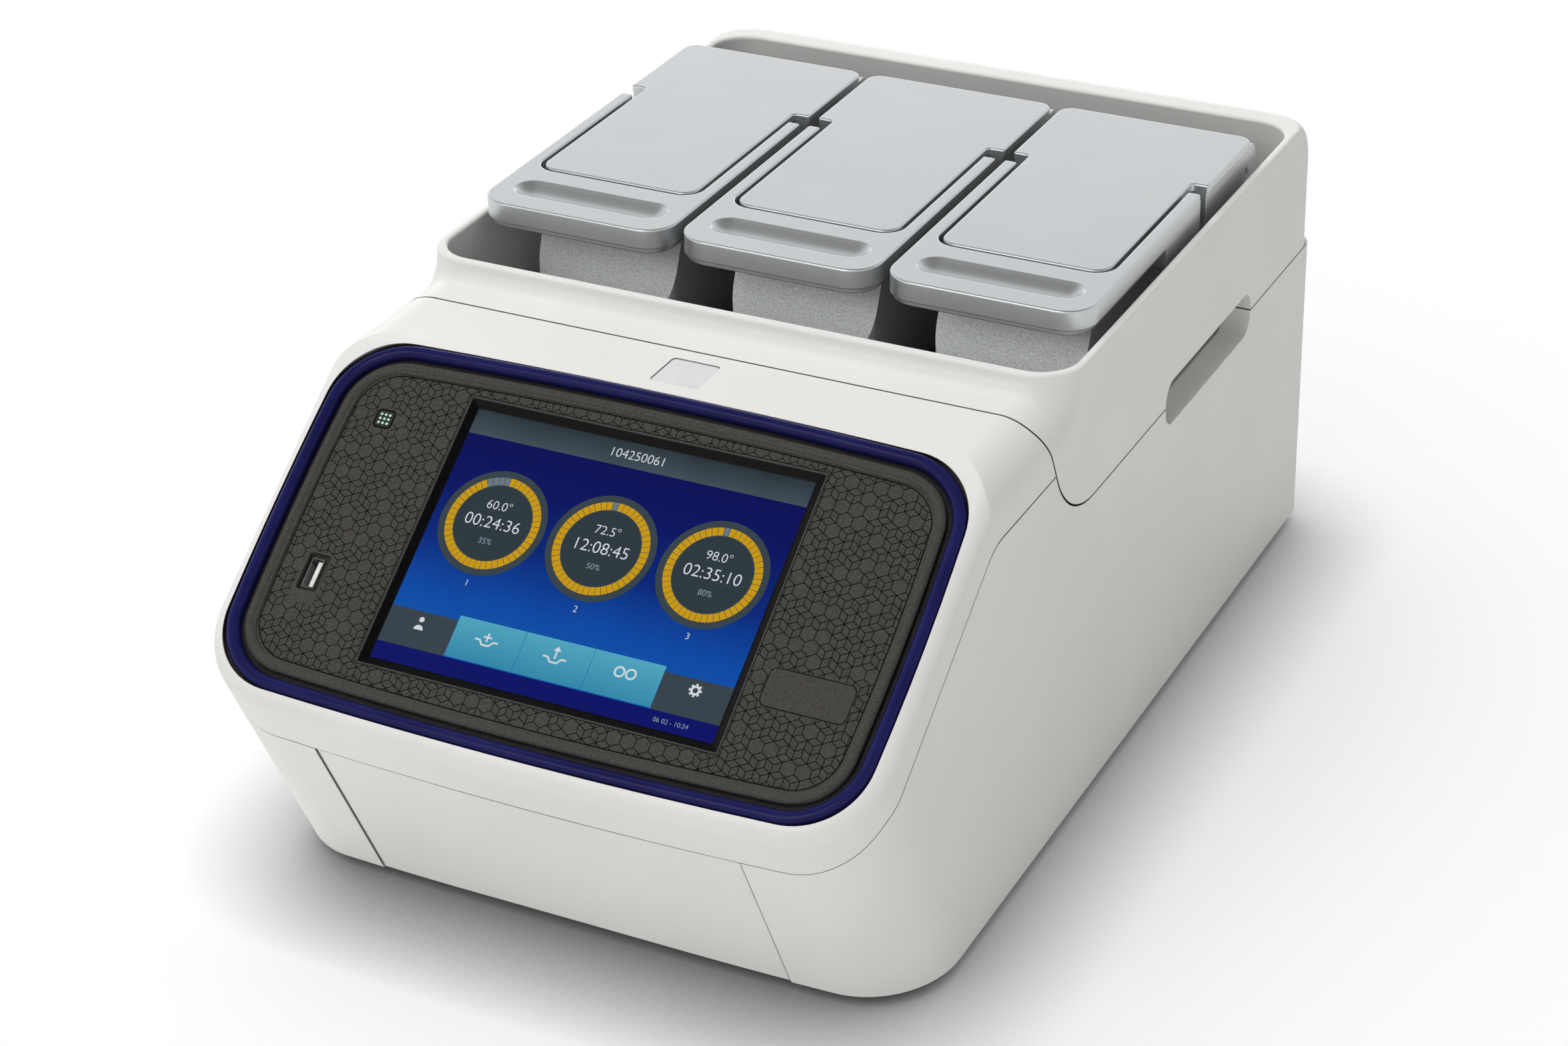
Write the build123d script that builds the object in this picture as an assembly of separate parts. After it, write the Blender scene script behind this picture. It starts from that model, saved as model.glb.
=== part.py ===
from build123d import *
import os
from math import cos, radians, sin, sqrt, tan

# Bench thermal cycler with three sample blocks of 32 wells. A white housing carries a tilted
# control panel, and a block module with three silver lids lifts out of the housing's top.
# Millimetres. X to the right as the user sees it, Y to the back, Z up.
# The origin is the centre of the footprint, on the bench.

# Housing
body_width = 301.0
rear_y = 260.5
rear_lean = 2.4
foot_height = 7.0
ledge_z = 213.0
ledge_radius = 20.0
brow_radius = 16.0
wall = 3.0
seam_gap = 0.6
chin_y = -252.2
chin_z = 90.3
chin_lean = 26.5
chin_corner_radius = 38.0
chin_bow = 4.5
chin_bottom_radius = 7.0
rear_corner_radius = 13.0
rear_bottom_radius = 14.0
half_width = body_width / 2

# Seams between bezel, base and block module, seen from the side
bezel_seam_z = 184.0
bezel_seam_bend_y = -136.0
bezel_seam_low_y = -233.0
bezel_seam_low_z = 113.5
module_seam_y = -85.5
module_seam_bend_z = 209.8
module_seam_foot_y = -59.4
module_seam_z = 155.0

# Control panel, on a plane tilted back from the horizontal
panel_tilt = 35.8
panel_y = -188.0
panel_z = 164.1
lip_rise = 3.6
lip_radius = 8.0
ring_half_width = 145.0
ring_high = 80.4
ring_low = -85.0
ring_bow = 3.5
ring_side_bow = 2.5
ring_radius = 31.0
ring_width = 8.6
ring_top = 4.6
face_level = 1.8
face_rim_width = 4.6
face_rim_level = 2.9
screen_width = 153.3
screen_height = 115.0
screen_bevel = 4.0
glass_thickness = 1.2
glass_margin = 4.5
trim_clearance = 0.2

# Small things on the control panel
light_u = 30.5 - ring_half_width
light_v = 43.0
light_size = 7.4
usb_u = 28.9 - ring_half_width
usb_v = -29.2
usb_width = 5.7
usb_height = 13.1
usb_depth = 12.0
usb_metal = 0.4
usb_pocket_width = 10.0
usb_pocket_height = 16.6
usb_pocket_shift = 0.9
name_v = -30.0
name_margin = 7.5
name_shift = 0.8
name_height = 16.0
badge_size = 22.0
badge_y = -104.7
badge_recess = 1.2
badge_thickness = 0.8

# Tub of the block module
rim_z = 221.0
tub_front_y = -63.5
tub_rear_radius = 20.0
tub_rear_round = 22.5
tub_wall = 4.0
tub_front_wall = 4.5
pocket_rear_y = 224.5
pocket_radius = 17.0
rim_round = 1.6
cove_radius = 6.0
deck_thickness = 4.0
deck_clearance = 0.3
rib_height = 12.0
rib_thickness = 3.0
rib_front_gap = 8.0
duct_front_gap = 15.0
duct_rear_gap = 4.0

# Hand recess below the shroud, one on each side
grip_front_y = 53.5
grip_rear_y = 162.5
grip_low_z = 144.0
grip_high_z = 165.5
grip_depth = 13.5
grip_hook_z = 172.0
grip_radius = 9.0
grip_skin = 2.5

# Lids, one over each block
module_side = 5.0
lid_pitch = (body_width - 2 * module_side) / 3
lid_gap = 4.6
lid_top_z = 233.0
lid_width = lid_pitch - lid_gap
lid_front_y = -27.0
lid_rear_y = 176.3
lid_plate = 3.5
lid_front_radius = 14.0
lid_rear_radius = 7.0
lid_edge_round = 0.8
lid_panel_width = lid_width - 15.6
lid_panel_front_y = 15.3
lid_panel_radius = 8.0
lid_groove = 2.0
notch_front_y = 107.5
notch_rear_y = 117.0
lid_skirt = 2.6
lid_skirt_inset = 0.8
lid_skirt_low_z = 205.0
hinge_y = 168.5
hinge_z = 218.0
hinge_barrel_radius = 15.0
hinge_pin_radius = 3.0
hinge_clearance = 0.05
bracket_thickness = 4.2
bracket_gap = 7.0

# Levers with their cam shafts
lever_height = 11.5
lever_step = 1.6
lever_arm_height = 9.0
lever_boss_front_y = 66.0
lever_boss_low_z = 213.0
scoop_length = lid_panel_width - 2.2
scoop_width = 16.5
scoop_depth = 3.4
scoop_y = -6.8
pivot_y = 100.0
pivot_z = 223.0
shaft_radius = 3.0
cam_radius = 3.6
cam_offset = 2.5
cam_lead = 20.0
cam_width = 8.0
cam_x = lid_panel_width * 0.26
cam_gap = 0.3

# Blocks under the lids
frame_front_y = 19.0
frame_rear_y = 150.0
frame_low_z = 213.0
frame_wall = 3.0
plate_low_z = 212.8
plate_gap = 0.5
plate_rear_y = 114.5
housing_width = lid_width - 23.4
housing_front_y = -1.0
housing_top_front_y = 12.0
housing_slope_z = 182.0
housing_rear_y = 128.0
housing_top_z = 212.4
housing_wall = 3.0
housing_corner = 8.0
housing_ledge_z = 189.4
block_y = 69.0
block_width = housing_width - 21.0
block_length = 85.0
block_top_z = 209.5
block_gap = 0.5
well_columns = 4
well_rows = 8
well_column_pitch = (block_width - 12.0) / well_columns
well_row_pitch = (block_length - 13.0) / well_rows
well_top_radius = sqrt(well_column_pitch * well_row_pitch) / 3
well_bottom_radius = well_top_radius * 0.47
well_depth = 13.0
peltier_width = block_width - 8.0
peltier_length = (block_length - 5.0) / 2
peltier_thickness = 3.6
sink_base_thickness = 8.0
sink_width = housing_width - 9.0
sink_length = 106.0
fin_height = 86.0
fin_thickness = 1.6
fin_count = 12

# Cooling fans and their bulkhead
fan_size = 70.0
fan_depth = 25.0
fan_bore = fan_size - 4.0
fan_z = 100.0
fan_hub_radius = fan_size * 0.22
blade_count = 7
blade_thickness = 2.0
blade_pitch = 38.0
blade_gap = 1.2
bulkhead_y = 212.0
bulkhead_thickness = 2.0
bulkhead_top_z = 148.0

# Inside of the base
tray_thickness = 1.5
tray_half_width = half_width - 10.5
tray_front_y = -131.0
tray_rear_y = 240.0
support_x = half_width - 21.5
support_thickness = 2.5
support_front_y = -50.0
support_rear_y = 205.0
supply_width = 120.0
supply_length = 100.0
supply_height = 45.0
supply_x = -40.0
supply_y = -75.0
board_width = body_width - 101.0
board_length = 120.0
board_thickness = 1.6
board_x = -10.0
board_y = -66.0
board_low_z = 72.0
standoff_radius = 3.5
standoff_inset = 6.0
board_parts = [(-0.30, -0.10, -0.23, 0.08, 5.0), (0.05, 0.35, -0.31, -0.15, 8.8), (0.10, 0.30, 0.08, 0.38, 3.1)]

# Rear panel with the power inlet and its switch
rear_opening_half = half_width - 22.5
rear_opening_low = 20.0
rear_opening_high = 136.0
rear_plate = 2.0
rear_plate_margin = 5.0
slot_pitch = 7.2
slot_width = slot_pitch / 2
inlet_x = rear_opening_half - 28.0
inlet_up = 36.0
inlet_width = 27.0
inlet_height = 20.0
inlet_depth = 18.0
inlet_flange = 3.0
inlet_wall = 2.0
pin_width = 4.0
pin_thickness = 2.0
pin_spread = 7.0
rocker_x = inlet_x - 38.0
rocker_width = 13.0
rocker_height = 19.0
rocker_throw = 16.0
rocker_stud_radius = 1.5

# Floor, feet and air intake
foot_radius = 11.0
foot_x = half_width - 35.5
foot_front_y = -165.0
foot_rear_y = 225.0
front_panel_half = half_width - 55.0
front_panel_rear_y = -192.0
front_panel_inset = 0.6
intake_count = 15
intake_pitch = (body_width - 121.0) / intake_count
intake_slot = intake_pitch / 2
intake_front_y = -178.0
intake_rear_y = -136.0
filter_thickness = 4.0
screw_radius = 3.5
screw_head = 1.5

FAR = 700.0


def block(x0, x1, y0, y1, z0, z1):
    """A plain box between two corners."""
    size = Box(x1 - x0, y1 - y0, z1 - z0)
    return Pos((x0 + x1) / 2, (y0 + y1) / 2, (z0 + z1) / 2) * size


def outline(points, radii):
    """A closed face with straight sides and a radius at each corner."""
    return make_face(FilletPolyline(*points, radius=radii, close=True))


def side_prism(points, radii, half=FAR):
    """An outline in Y and Z, run out to both sides."""
    return extrude(Plane.YZ * outline(points, radii), amount=half, both=True)


def plan_prism(points, radii, low, high):
    """An outline in X and Y, between two heights."""
    return extrude(Plane.XY.offset(low) * outline(points, radii), amount=high - low)


def rectangle_points(half_x, y0, y1):
    return [(-half_x, y0), (half_x, y0), (half_x, y1), (-half_x, y1)]


def meet(p, p_angle, q, q_angle):
    """Where two lines in the Y-Z view cross, each given by a point and an angle in degrees."""
    py, pz = cos(radians(p_angle)), sin(radians(p_angle))
    qy, qz = cos(radians(q_angle)), sin(radians(q_angle))
    run = ((q[0] - p[0]) * qz - (q[1] - p[1]) * qy) / (py * qz - pz * qy)
    return (p[0] + run * py, p[1] + run * pz)


def x_cylinder(radius, x0, x1, y, z):
    """A cylinder along X."""
    turned = Rot(0, 90, 0) * Cylinder(radius, x1 - x0)
    return Pos((x0 + x1) / 2, y, z) * turned


def y_cylinder(radius, y0, y1, x, z):
    """A cylinder along Y."""
    turned = Rot(90, 0, 0) * Cylinder(radius, y1 - y0)
    return Pos(x, (y0 + y1) / 2, z) * turned


def top_edges(solid, height):
    """The edges that lie in one horizontal plane."""
    return [e for e in solid.edges() if abs(e.bounding_box().min.Z - height) < 0.01
            and abs(e.bounding_box().max.Z - height) < 0.01]


def save(name, *solids):
    """Write one node, as one solid or as a group of separate solids."""
    parts = []
    for solid in solids:
        parts += list(solid.solids())
    shape = parts[0] if len(parts) == 1 else Compound(children=parts)
    export_step(shape, f"parts/{name}.step")


# Planes that the outside follows: the control panel, the chin and the rear wall
tilt_sin, tilt_cos = sin(radians(panel_tilt)), cos(radians(panel_tilt))
panel_plane = Plane(origin=(0, panel_y, panel_z), x_dir=(1, 0, 0), z_dir=(0, -tilt_sin, tilt_cos))
chin_sin, chin_cos = sin(radians(chin_lean)), cos(radians(chin_lean))
chin_plane = Plane(origin=(0, chin_y, chin_z), x_dir=(1, 0, 0), z_dir=(0, -chin_sin, chin_cos))
lean_sin, lean_cos = sin(radians(rear_lean)), cos(radians(rear_lean))
panel_axis = Axis(panel_plane.origin, panel_plane.z_dir)
rear_up = Plane(origin=(0, rear_y, foot_height), x_dir=(1, 0, 0), z_dir=(0, -lean_sin, lean_cos))
rear_face = Plane(origin=(0, rear_y, foot_height), x_dir=(-1, 0, 0), z_dir=(0, lean_cos, lean_sin))


def bowed_front(half, front, bow, radius):
    """A plan with a bowed front edge, its two front corners rounded, run far to the back."""
    left, right = (-half, front + bow), (half, front + bow)
    edges = [ThreePointArc(left, (0, front), right), Polyline(right, (half, FAR), (-half, FAR), left)]
    face = make_face(edges)
    return fillet([v for v in face.vertices() if v.Y < front + bow + 1], radius)


def base_hull(inset):
    """The outside of the base, moved in by a wall's thickness, before it is cut at the seams."""
    chin = (chin_y + inset * chin_cos, chin_z + inset * chin_sin)
    rear = (rear_y - inset / lean_cos, foot_height)
    low = foot_height + inset
    bottom_front = meet(chin, 90 + chin_lean, (0, low), 0)
    bottom_rear = meet(rear, 90 + rear_lean, (0, low), 0)
    top_front = meet(chin, 90 + chin_lean, (0, ledge_z), 0)
    top_rear = meet(rear, 90 + rear_lean, (0, ledge_z), 0)
    radii = [0, chin_bottom_radius - inset, rear_bottom_radius - inset, 0]
    side = side_prism([top_front, bottom_front, bottom_rear, top_rear], radii)
    half = half_width - inset
    front = bowed_front(half, inset, chin_bow, chin_corner_radius - inset)
    rear_outline = outline(rectangle_points(half, -FAR, -inset),
                           [0, 0, rear_corner_radius - inset, rear_corner_radius - inset])
    return side & extrude(chin_plane * front, amount=FAR, both=True) \
        & extrude(rear_up * rear_outline, amount=FAR, both=True)


def top_hull(inset):
    """The outside of the bezel and of the ledge behind it: tilted lip, brow and flat top."""
    lip = (panel_y - (lip_rise - inset) * tilt_sin, panel_z + (lip_rise - inset) * tilt_cos)
    brow = meet(lip, panel_tilt, (0, ledge_z - inset), 0)
    front = meet(lip, panel_tilt, (-FAR, 0), 90)
    side = side_prism([front, brow, (FAR, ledge_z - inset), (FAR, -FAR), (-FAR, -FAR)],
                      [0, brow_radius - inset, 0, 0, 0])
    half = half_width - inset
    round_top = outline([(-half, 0), (half, 0), (half, ledge_z - inset), (-half, ledge_z - inset)],
                        [0, 0, ledge_radius - inset, ledge_radius - inset])
    across = extrude(Plane.XZ * round_top, amount=FAR, both=True)
    front = bowed_front(half, inset, chin_bow, chin_corner_radius - inset)
    below_lip = extrude(panel_plane.offset(lip_rise - inset) * Rectangle(4 * FAR, 4 * FAR), amount=-3 * FAR)
    lip_block = extrude(chin_plane * front, amount=FAR, both=True) & below_lip
    if inset == 0:
        top = lip_block.faces().sort_by(panel_axis)[-1]
        lip_block = fillet(top.edges().filter_by(lambda e: (e @ 0.5).Y < FAR / 4), lip_radius)
    return side & across & lip_block


# The seams, as regions seen from the side
bezel_seam = [(-FAR, chin_z), (chin_y + 1, chin_z), (bezel_seam_low_y, bezel_seam_low_z),
              (bezel_seam_bend_y, bezel_seam_z)]
bezel_seam_radii = [0, 8, 18, 25]
module_seam = [(module_seam_y, FAR), (module_seam_y, module_seam_bend_z),
               (module_seam_foot_y, module_seam_z), (FAR, module_seam_z)]
module_seam_radii = [0, 14, 45, 0]
seam_meeting_y = module_seam_foot_y - 8
bezel_region = side_prism(
    bezel_seam + [(seam_meeting_y, bezel_seam_z), (seam_meeting_y, FAR), (-FAR, FAR)],
    bezel_seam_radii + [0, 0, 0])
module_region = side_prism(module_seam, module_seam_radii)
front_of_module = side_prism(
    [(-FAR, -FAR), (-FAR, FAR), (module_seam_y - seam_gap, FAR),
     (module_seam_y - seam_gap, module_seam_bend_z),
     (module_seam_foot_y - seam_gap, module_seam_z - seam_gap), (FAR, module_seam_z - seam_gap),
     (FAR, -FAR)],
    [0, 0, 0, 14, 45, 0, 0])
below_bezel = side_prism(
    [(-FAR, -FAR)] + [(y, z - seam_gap) for y, z in bezel_seam]
    + [(FAR, bezel_seam_z - seam_gap), (FAR, -FAR)],
    [0] + bezel_seam_radii + [0, 0])

outer_base = base_hull(0)
inner_base = base_hull(wall)
outer_top = top_hull(0)
inner_top = top_hull(wall)


def ring_outline(inset):
    """The bowed outline that trim ring and control panel share, moved in by a distance."""
    half, high, low = ring_half_width - inset, ring_high - inset, ring_low + inset
    side_drop = ring_side_bow
    corners = [(-half + side_drop, high - ring_bow), (half - side_drop, high - ring_bow),
               (half - side_drop, low + ring_bow), (-half + side_drop, low + ring_bow)]
    top = ThreePointArc(corners[0], (0, high), corners[1])
    right = ThreePointArc(corners[1], (half, 0), corners[2])
    bottom = ThreePointArc(corners[2], (0, low), corners[3])
    left = ThreePointArc(corners[3], (-half, 0), corners[0])
    face = make_face([top, right, bottom, left])
    return fillet(face.vertices(), ring_radius - inset)


def on_panel(face, low, high):
    """A face on the control panel's plane, between two levels above the screen."""
    return extrude(panel_plane.offset(low) * face, amount=high - low)


# White front bezel: lip, brow and flat top, with the opening for the control panel
bezel_shell = (outer_top - inner_top) & bezel_region & front_of_module
lip_inside = lip_rise - wall
bezel_opening = on_panel(ring_outline(-trim_clearance), lip_inside - 1, lip_rise + 20)
front_bezel = bezel_shell - bezel_opening
badge_half = badge_size / 2
badge_points = rectangle_points(badge_half, badge_y - badge_half, badge_y + badge_half)
badge_corner = 2.0
badge_pocket = plan_prism(badge_points, [badge_corner] * 4, ledge_z - badge_recess, ledge_z + 1)
front_bezel -= badge_pocket
badge_face = rectangle_points(badge_half - trim_clearance, badge_y - badge_half + trim_clearance,
                              badge_y + badge_half - trim_clearance)
badge_plate = plan_prism(badge_face, [badge_corner] * 4, ledge_z - badge_recess,
                         ledge_z - badge_recess + badge_thickness)

# Navy trim ring with a half-round top
ring_seat = 0.0
trim_ring = on_panel(ring_outline(0), ring_seat, ring_top) \
    - on_panel(ring_outline(ring_width), ring_seat - 1, ring_top + 1)
crest = trim_ring.faces().sort_by(panel_axis)[-1]
trim_ring = fillet(crest.edges(), ring_top * 0.75)

# Charcoal control panel: flange under the bezel, raised rim, sunk screen window
flange_reach = 3.5
glass_top = -0.2
flange = on_panel(ring_outline(-flange_reach), glass_top - glass_thickness - 1, ring_seat)
face_gap = ring_width + trim_clearance
plateau = on_panel(ring_outline(face_gap), ring_seat, face_rim_level)
dish = on_panel(ring_outline(face_gap + face_rim_width), face_level, face_rim_level + 1)
control_panel = flange + (plateau - dish)
rim_top = control_panel.faces().sort_by(panel_axis)[-1]
control_panel = fillet(rim_top.edges(), 0.9)
window = Rectangle(screen_width + 1, screen_height + 1)
window_rim = Rectangle(screen_width + 2 * screen_bevel, screen_height + 2 * screen_bevel)
control_panel &= top_hull(wall + 2 * trim_clearance) + plateau
bevel = loft([panel_plane.offset(glass_top) * window, panel_plane.offset(face_level + 0.05) * window_rim])
glass_half_u = screen_width / 2 + glass_margin
glass_half_v = screen_height / 2 + glass_margin
glass_face = RectangleRounded(2 * glass_half_u, 2 * glass_half_v, 2)
glass_seat = RectangleRounded(2 * glass_half_u + 0.4, 2 * glass_half_v + 0.4, 2)
control_panel -= bevel
control_panel -= on_panel(glass_seat, glass_top - glass_thickness - 5, glass_top)
screen_glass = on_panel(glass_face, glass_top - glass_thickness, glass_top)
lcd_depth = 7.0
lcd_module = on_panel(RectangleRounded(2 * glass_half_u - 4, 2 * glass_half_v - 4, 1),
                      glass_top - glass_thickness - lcd_depth, glass_top - glass_thickness)

# Status light, USB port and bare name plate on the control panel
light_hole = Pos(light_u, light_v) * RectangleRounded(light_size + 0.6, light_size + 0.6, 1.8)
light_lens = Pos(light_u, light_v) * RectangleRounded(light_size, light_size, 1.5)
status_light = on_panel(light_lens, -2.2, face_level)
control_panel -= on_panel(light_hole, -3, face_level + 1)
usb_pocket = Pos(usb_u + usb_pocket_shift, usb_v) * RectangleRounded(usb_pocket_width, usb_pocket_height, 1.6)
control_panel -= on_panel(usb_pocket, -1.0, face_level + 1)
usb_outer = Pos(usb_u, usb_v) * Rectangle(usb_width, usb_height)
usb_inner = Pos(usb_u, usb_v) * Rectangle(usb_width - 2 * usb_metal, usb_height - 2 * usb_metal)
control_panel -= on_panel(usb_outer, -4, 0)
usb_back = 0.5 - usb_depth
usb_shell = on_panel(usb_outer, usb_back, 0.5) - on_panel(usb_inner, usb_back + usb_metal, 1)
tongue = Pos(usb_u + usb_pocket_shift, usb_v) * Rectangle(1.8, usb_height - 2)
usb_tongue = on_panel(tongue, usb_back + usb_metal, -0.6)
name_low_u = screen_width / 2 + screen_bevel
name_high_u = ring_half_width - ring_width - face_rim_width
name_u = (name_low_u + name_high_u) / 2 + name_shift
name_width = name_high_u - name_low_u - 2 * name_margin
name_face = Pos(name_u, name_v) * RectangleRounded(name_width, name_height, 3)
name_seat = Pos(name_u, name_v) * RectangleRounded(name_width + 0.4, name_height + 0.4, 3.2)
control_panel -= on_panel(name_seat, face_level - 0.5, face_level + 1)
name_plate = on_panel(name_face, face_level - 0.5, face_level + 0.1)

# White base housing: chin, side walls, floor and rear wall in one moulding
base_shell = (outer_base - inner_base) & front_of_module & below_bezel
lower_panel_cut = block(-front_panel_half - seam_gap / 2, front_panel_half + seam_gap / 2,
                        -FAR, front_panel_rear_y, 0, FAR)
base_housing = base_shell - lower_panel_cut
rear_window = Pos(0, (rear_opening_low + rear_opening_high) / 2) * RectangleRounded(
    2 * rear_opening_half, rear_opening_high - rear_opening_low, 6)
base_housing -= extrude(rear_face.offset(-3 * wall) * rear_window, amount=4 * wall)
for n in range(intake_count):
    slot_x = (n - (intake_count - 1) / 2) * intake_pitch
    base_housing -= block(slot_x - intake_slot / 2, slot_x + intake_slot / 2,
                          intake_front_y, intake_rear_y, 0, foot_height + 2 * wall)

# Lower front panel, set in a little and clipped between the chin's corners
panel_shell = (base_hull(front_panel_inset) - base_hull(front_panel_inset + wall)) & below_bezel
front_lower_panel = panel_shell & block(
    -front_panel_half + seam_gap / 2, front_panel_half - seam_gap / 2,
    -FAR, front_panel_rear_y - seam_gap, 0, FAR)


def grip_outline(low, high):
    """Side view of a hand recess between two heights, with large lower corners."""
    points = [(grip_front_y, low), (grip_rear_y, low), (grip_rear_y, high), (grip_front_y, high)]
    return points


def grip_cavity(side, low, high, radii, depth):
    """The recess, cut in from one side of the housing."""
    prism = side_prism(grip_outline(low, high), radii)
    inner_x, outer_x = half_width - depth, half_width + 5
    x0, x1 = (inner_x, outer_x) if side > 0 else (-outer_x, -inner_x)
    return prism & block(x0, x1, -FAR, FAR, 0, FAR)


def grip_box(side, low, high):
    """The moulded box around the recess, on the inside of the wall."""
    inner_x, outer_x = half_width - grip_depth - grip_skin, half_width - 1
    x0, x1 = (inner_x, outer_x) if side > 0 else (-outer_x, -inner_x)
    return block(x0, x1, grip_front_y - grip_skin, grip_rear_y + grip_skin, low, high)


base_top_z = module_seam_z - seam_gap
for side in (-1, 1):
    base_housing += grip_box(side, grip_low_z - grip_skin, base_top_z)
    base_housing -= grip_cavity(side, grip_low_z, base_top_z + 20, [grip_radius, grip_radius, 0, 0],
                                grip_depth)

# White shroud of the block module: tub with its rim, ledge and cove
tub_form = side_prism(
    [(module_seam_y - 5, 0), (module_seam_y - 5, ledge_z), (tub_front_y, ledge_z),
     (tub_front_y, rim_z), (FAR, rim_z), (FAR, 0)],
    [0, 0, cove_radius, 0, 0, 0], half_width)
shoulder = [e for e in tub_form.edges() if abs(abs((e @ 0.5).X) - half_width) < 0.01
            and (e @ 0.5).Y < tub_front_y + 1 and (e @ 0.5).Z > ledge_z - 1
            and (e @ 0.5).Y > module_seam_y - 4]
tub_form = fillet(shoulder, ledge_radius)
tub_form = fillet([e for e in top_edges(tub_form, rim_z) if (e @ 0.5).Y < FAR - 1], rim_round)
round_z = rim_z + 0.3 - tub_rear_round
round_y = rear_y - (round_z - foot_height) * lean_sin / lean_cos - tub_rear_round / lean_cos


def rear_section(y, z):
    """Plan of the tub at one height, with its rear edge at y and both rear corners rounded."""
    return Plane.XY.offset(z) * outline(rectangle_points(half_width + trim_clearance, -FAR / 2, y),
                                        [0, 0, tub_rear_radius, tub_rear_radius])


rear_arc = []
for k in range(9):
    turn = radians(rear_lean + (90 - rear_lean) * k / 8)
    rear_arc.append((round_y + tub_rear_round * cos(turn), round_z + tub_rear_round * sin(turn)))
straight_z = rear_arc[0][1]
low_section = rear_section(rear_arc[0][0] + (straight_z - module_seam_z + 15) * lean_sin / lean_cos,
                           module_seam_z - 15)
rear_form = loft([low_section, rear_section(*rear_arc[0])], ruled=True) \
    + loft([rear_section(y, z) for y, z in rear_arc])
pocket_half = half_width - tub_wall
pocket_front_y = tub_front_y + tub_front_wall
pocket = plan_prism(rectangle_points(pocket_half, pocket_front_y, pocket_rear_y),
                    [pocket_radius] * 4, module_seam_z - 10, rim_z + 10)
tub_form = tub_form & rear_form
tub_form -= pocket
mouth = [e for e in top_edges(tub_form, rim_z) if pocket.distance_to(Vertex(*(e @ 0.5))) < 0.01]
tub_form = fillet(mouth, rim_round)
shroud = tub_form & Pos(0, seam_gap / 2, 0) * module_region
rear_hollow = block(-pocket_half, pocket_half, pocket_rear_y + tub_wall, FAR, 0, rim_z - tub_rear_round)
front_hollow = inner_top & block(-FAR, FAR, -FAR, tub_front_y, 0, ledge_z - wall)
rear_inside = outline(rectangle_points(half_width - tub_wall, -FAR, -tub_wall),
                      [0, 0, tub_rear_radius - tub_wall, tub_rear_radius - tub_wall])
shroud -= rear_hollow & extrude(rear_up * rear_inside, amount=FAR, both=True)
shroud -= front_hollow
for side in (-1, 1):
    shroud += grip_box(side, module_seam_z, grip_hook_z + grip_skin)
    shroud -= grip_cavity(side, module_seam_z - 20, grip_high_z, [0, 0, grip_radius, grip_radius],
                          grip_depth)
    inner_x, outer_x = half_width - grip_depth, half_width - tub_wall
    x0, x1 = (inner_x, outer_x) if side > 0 else (-outer_x, -inner_x)
    shroud -= block(x0, x1, grip_front_y, grip_rear_y, module_seam_z - 1, grip_hook_z)

# Deck of the module: a plate under the shroud that carries the three blocks
deck_half = half_width - wall - deck_clearance
deck_low_z = module_seam_z - deck_thickness
deck_rear_y = rear_y - (module_seam_z - foot_height) * tan(radians(rear_lean)) - wall - 1.5
deck_corner = rear_corner_radius - wall + 1
deck = plan_prism(rectangle_points(deck_half, tub_front_y, deck_rear_y), [0, 0, deck_corner, deck_corner],
                  deck_low_z, module_seam_z)
grip_inner_x = half_width - grip_depth - grip_skin
for side in (-1, 1):
    x0, x1 = (grip_inner_x - 1, FAR) if side > 0 else (-FAR, -grip_inner_x + 1)
    deck -= block(x0, x1, grip_front_y - grip_skin - 1, grip_rear_y + grip_skin + 1, 0, FAR)
    rib_x = side * lid_pitch / 2
    deck += block(rib_x - rib_thickness / 2, rib_x + rib_thickness / 2, pocket_front_y + rib_front_gap,
                  housing_rear_y, module_seam_z, module_seam_z + rib_height)
duct_half = housing_width / 2 - housing_wall
for n in (-1, 0, 1):
    x = n * lid_pitch
    deck -= block(x - duct_half, x + duct_half, housing_front_y + duct_front_gap,
                  housing_rear_y - duct_rear_gap, 0, FAR)

# Sheet for the base: chassis tray, supports for the module, fan bulkhead
tray_low_z = foot_height + wall
tray_top_z = tray_low_z + tray_thickness
chassis_tray = block(-tray_half_width, tray_half_width, tray_front_y, tray_rear_y, tray_low_z, tray_top_z)
module_supports = [
    block(side * support_x - support_thickness / 2, side * support_x + support_thickness / 2,
          support_front_y, support_rear_y, tray_top_z, deck_low_z)
    for side in (-1, 1)]
bulkhead_half = fan_size * 1.5 + (lid_pitch - fan_size)
fan_bulkhead = block(-bulkhead_half, bulkhead_half, bulkhead_y, bulkhead_y + bulkhead_thickness,
                     tray_top_z, bulkhead_top_z)

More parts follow.
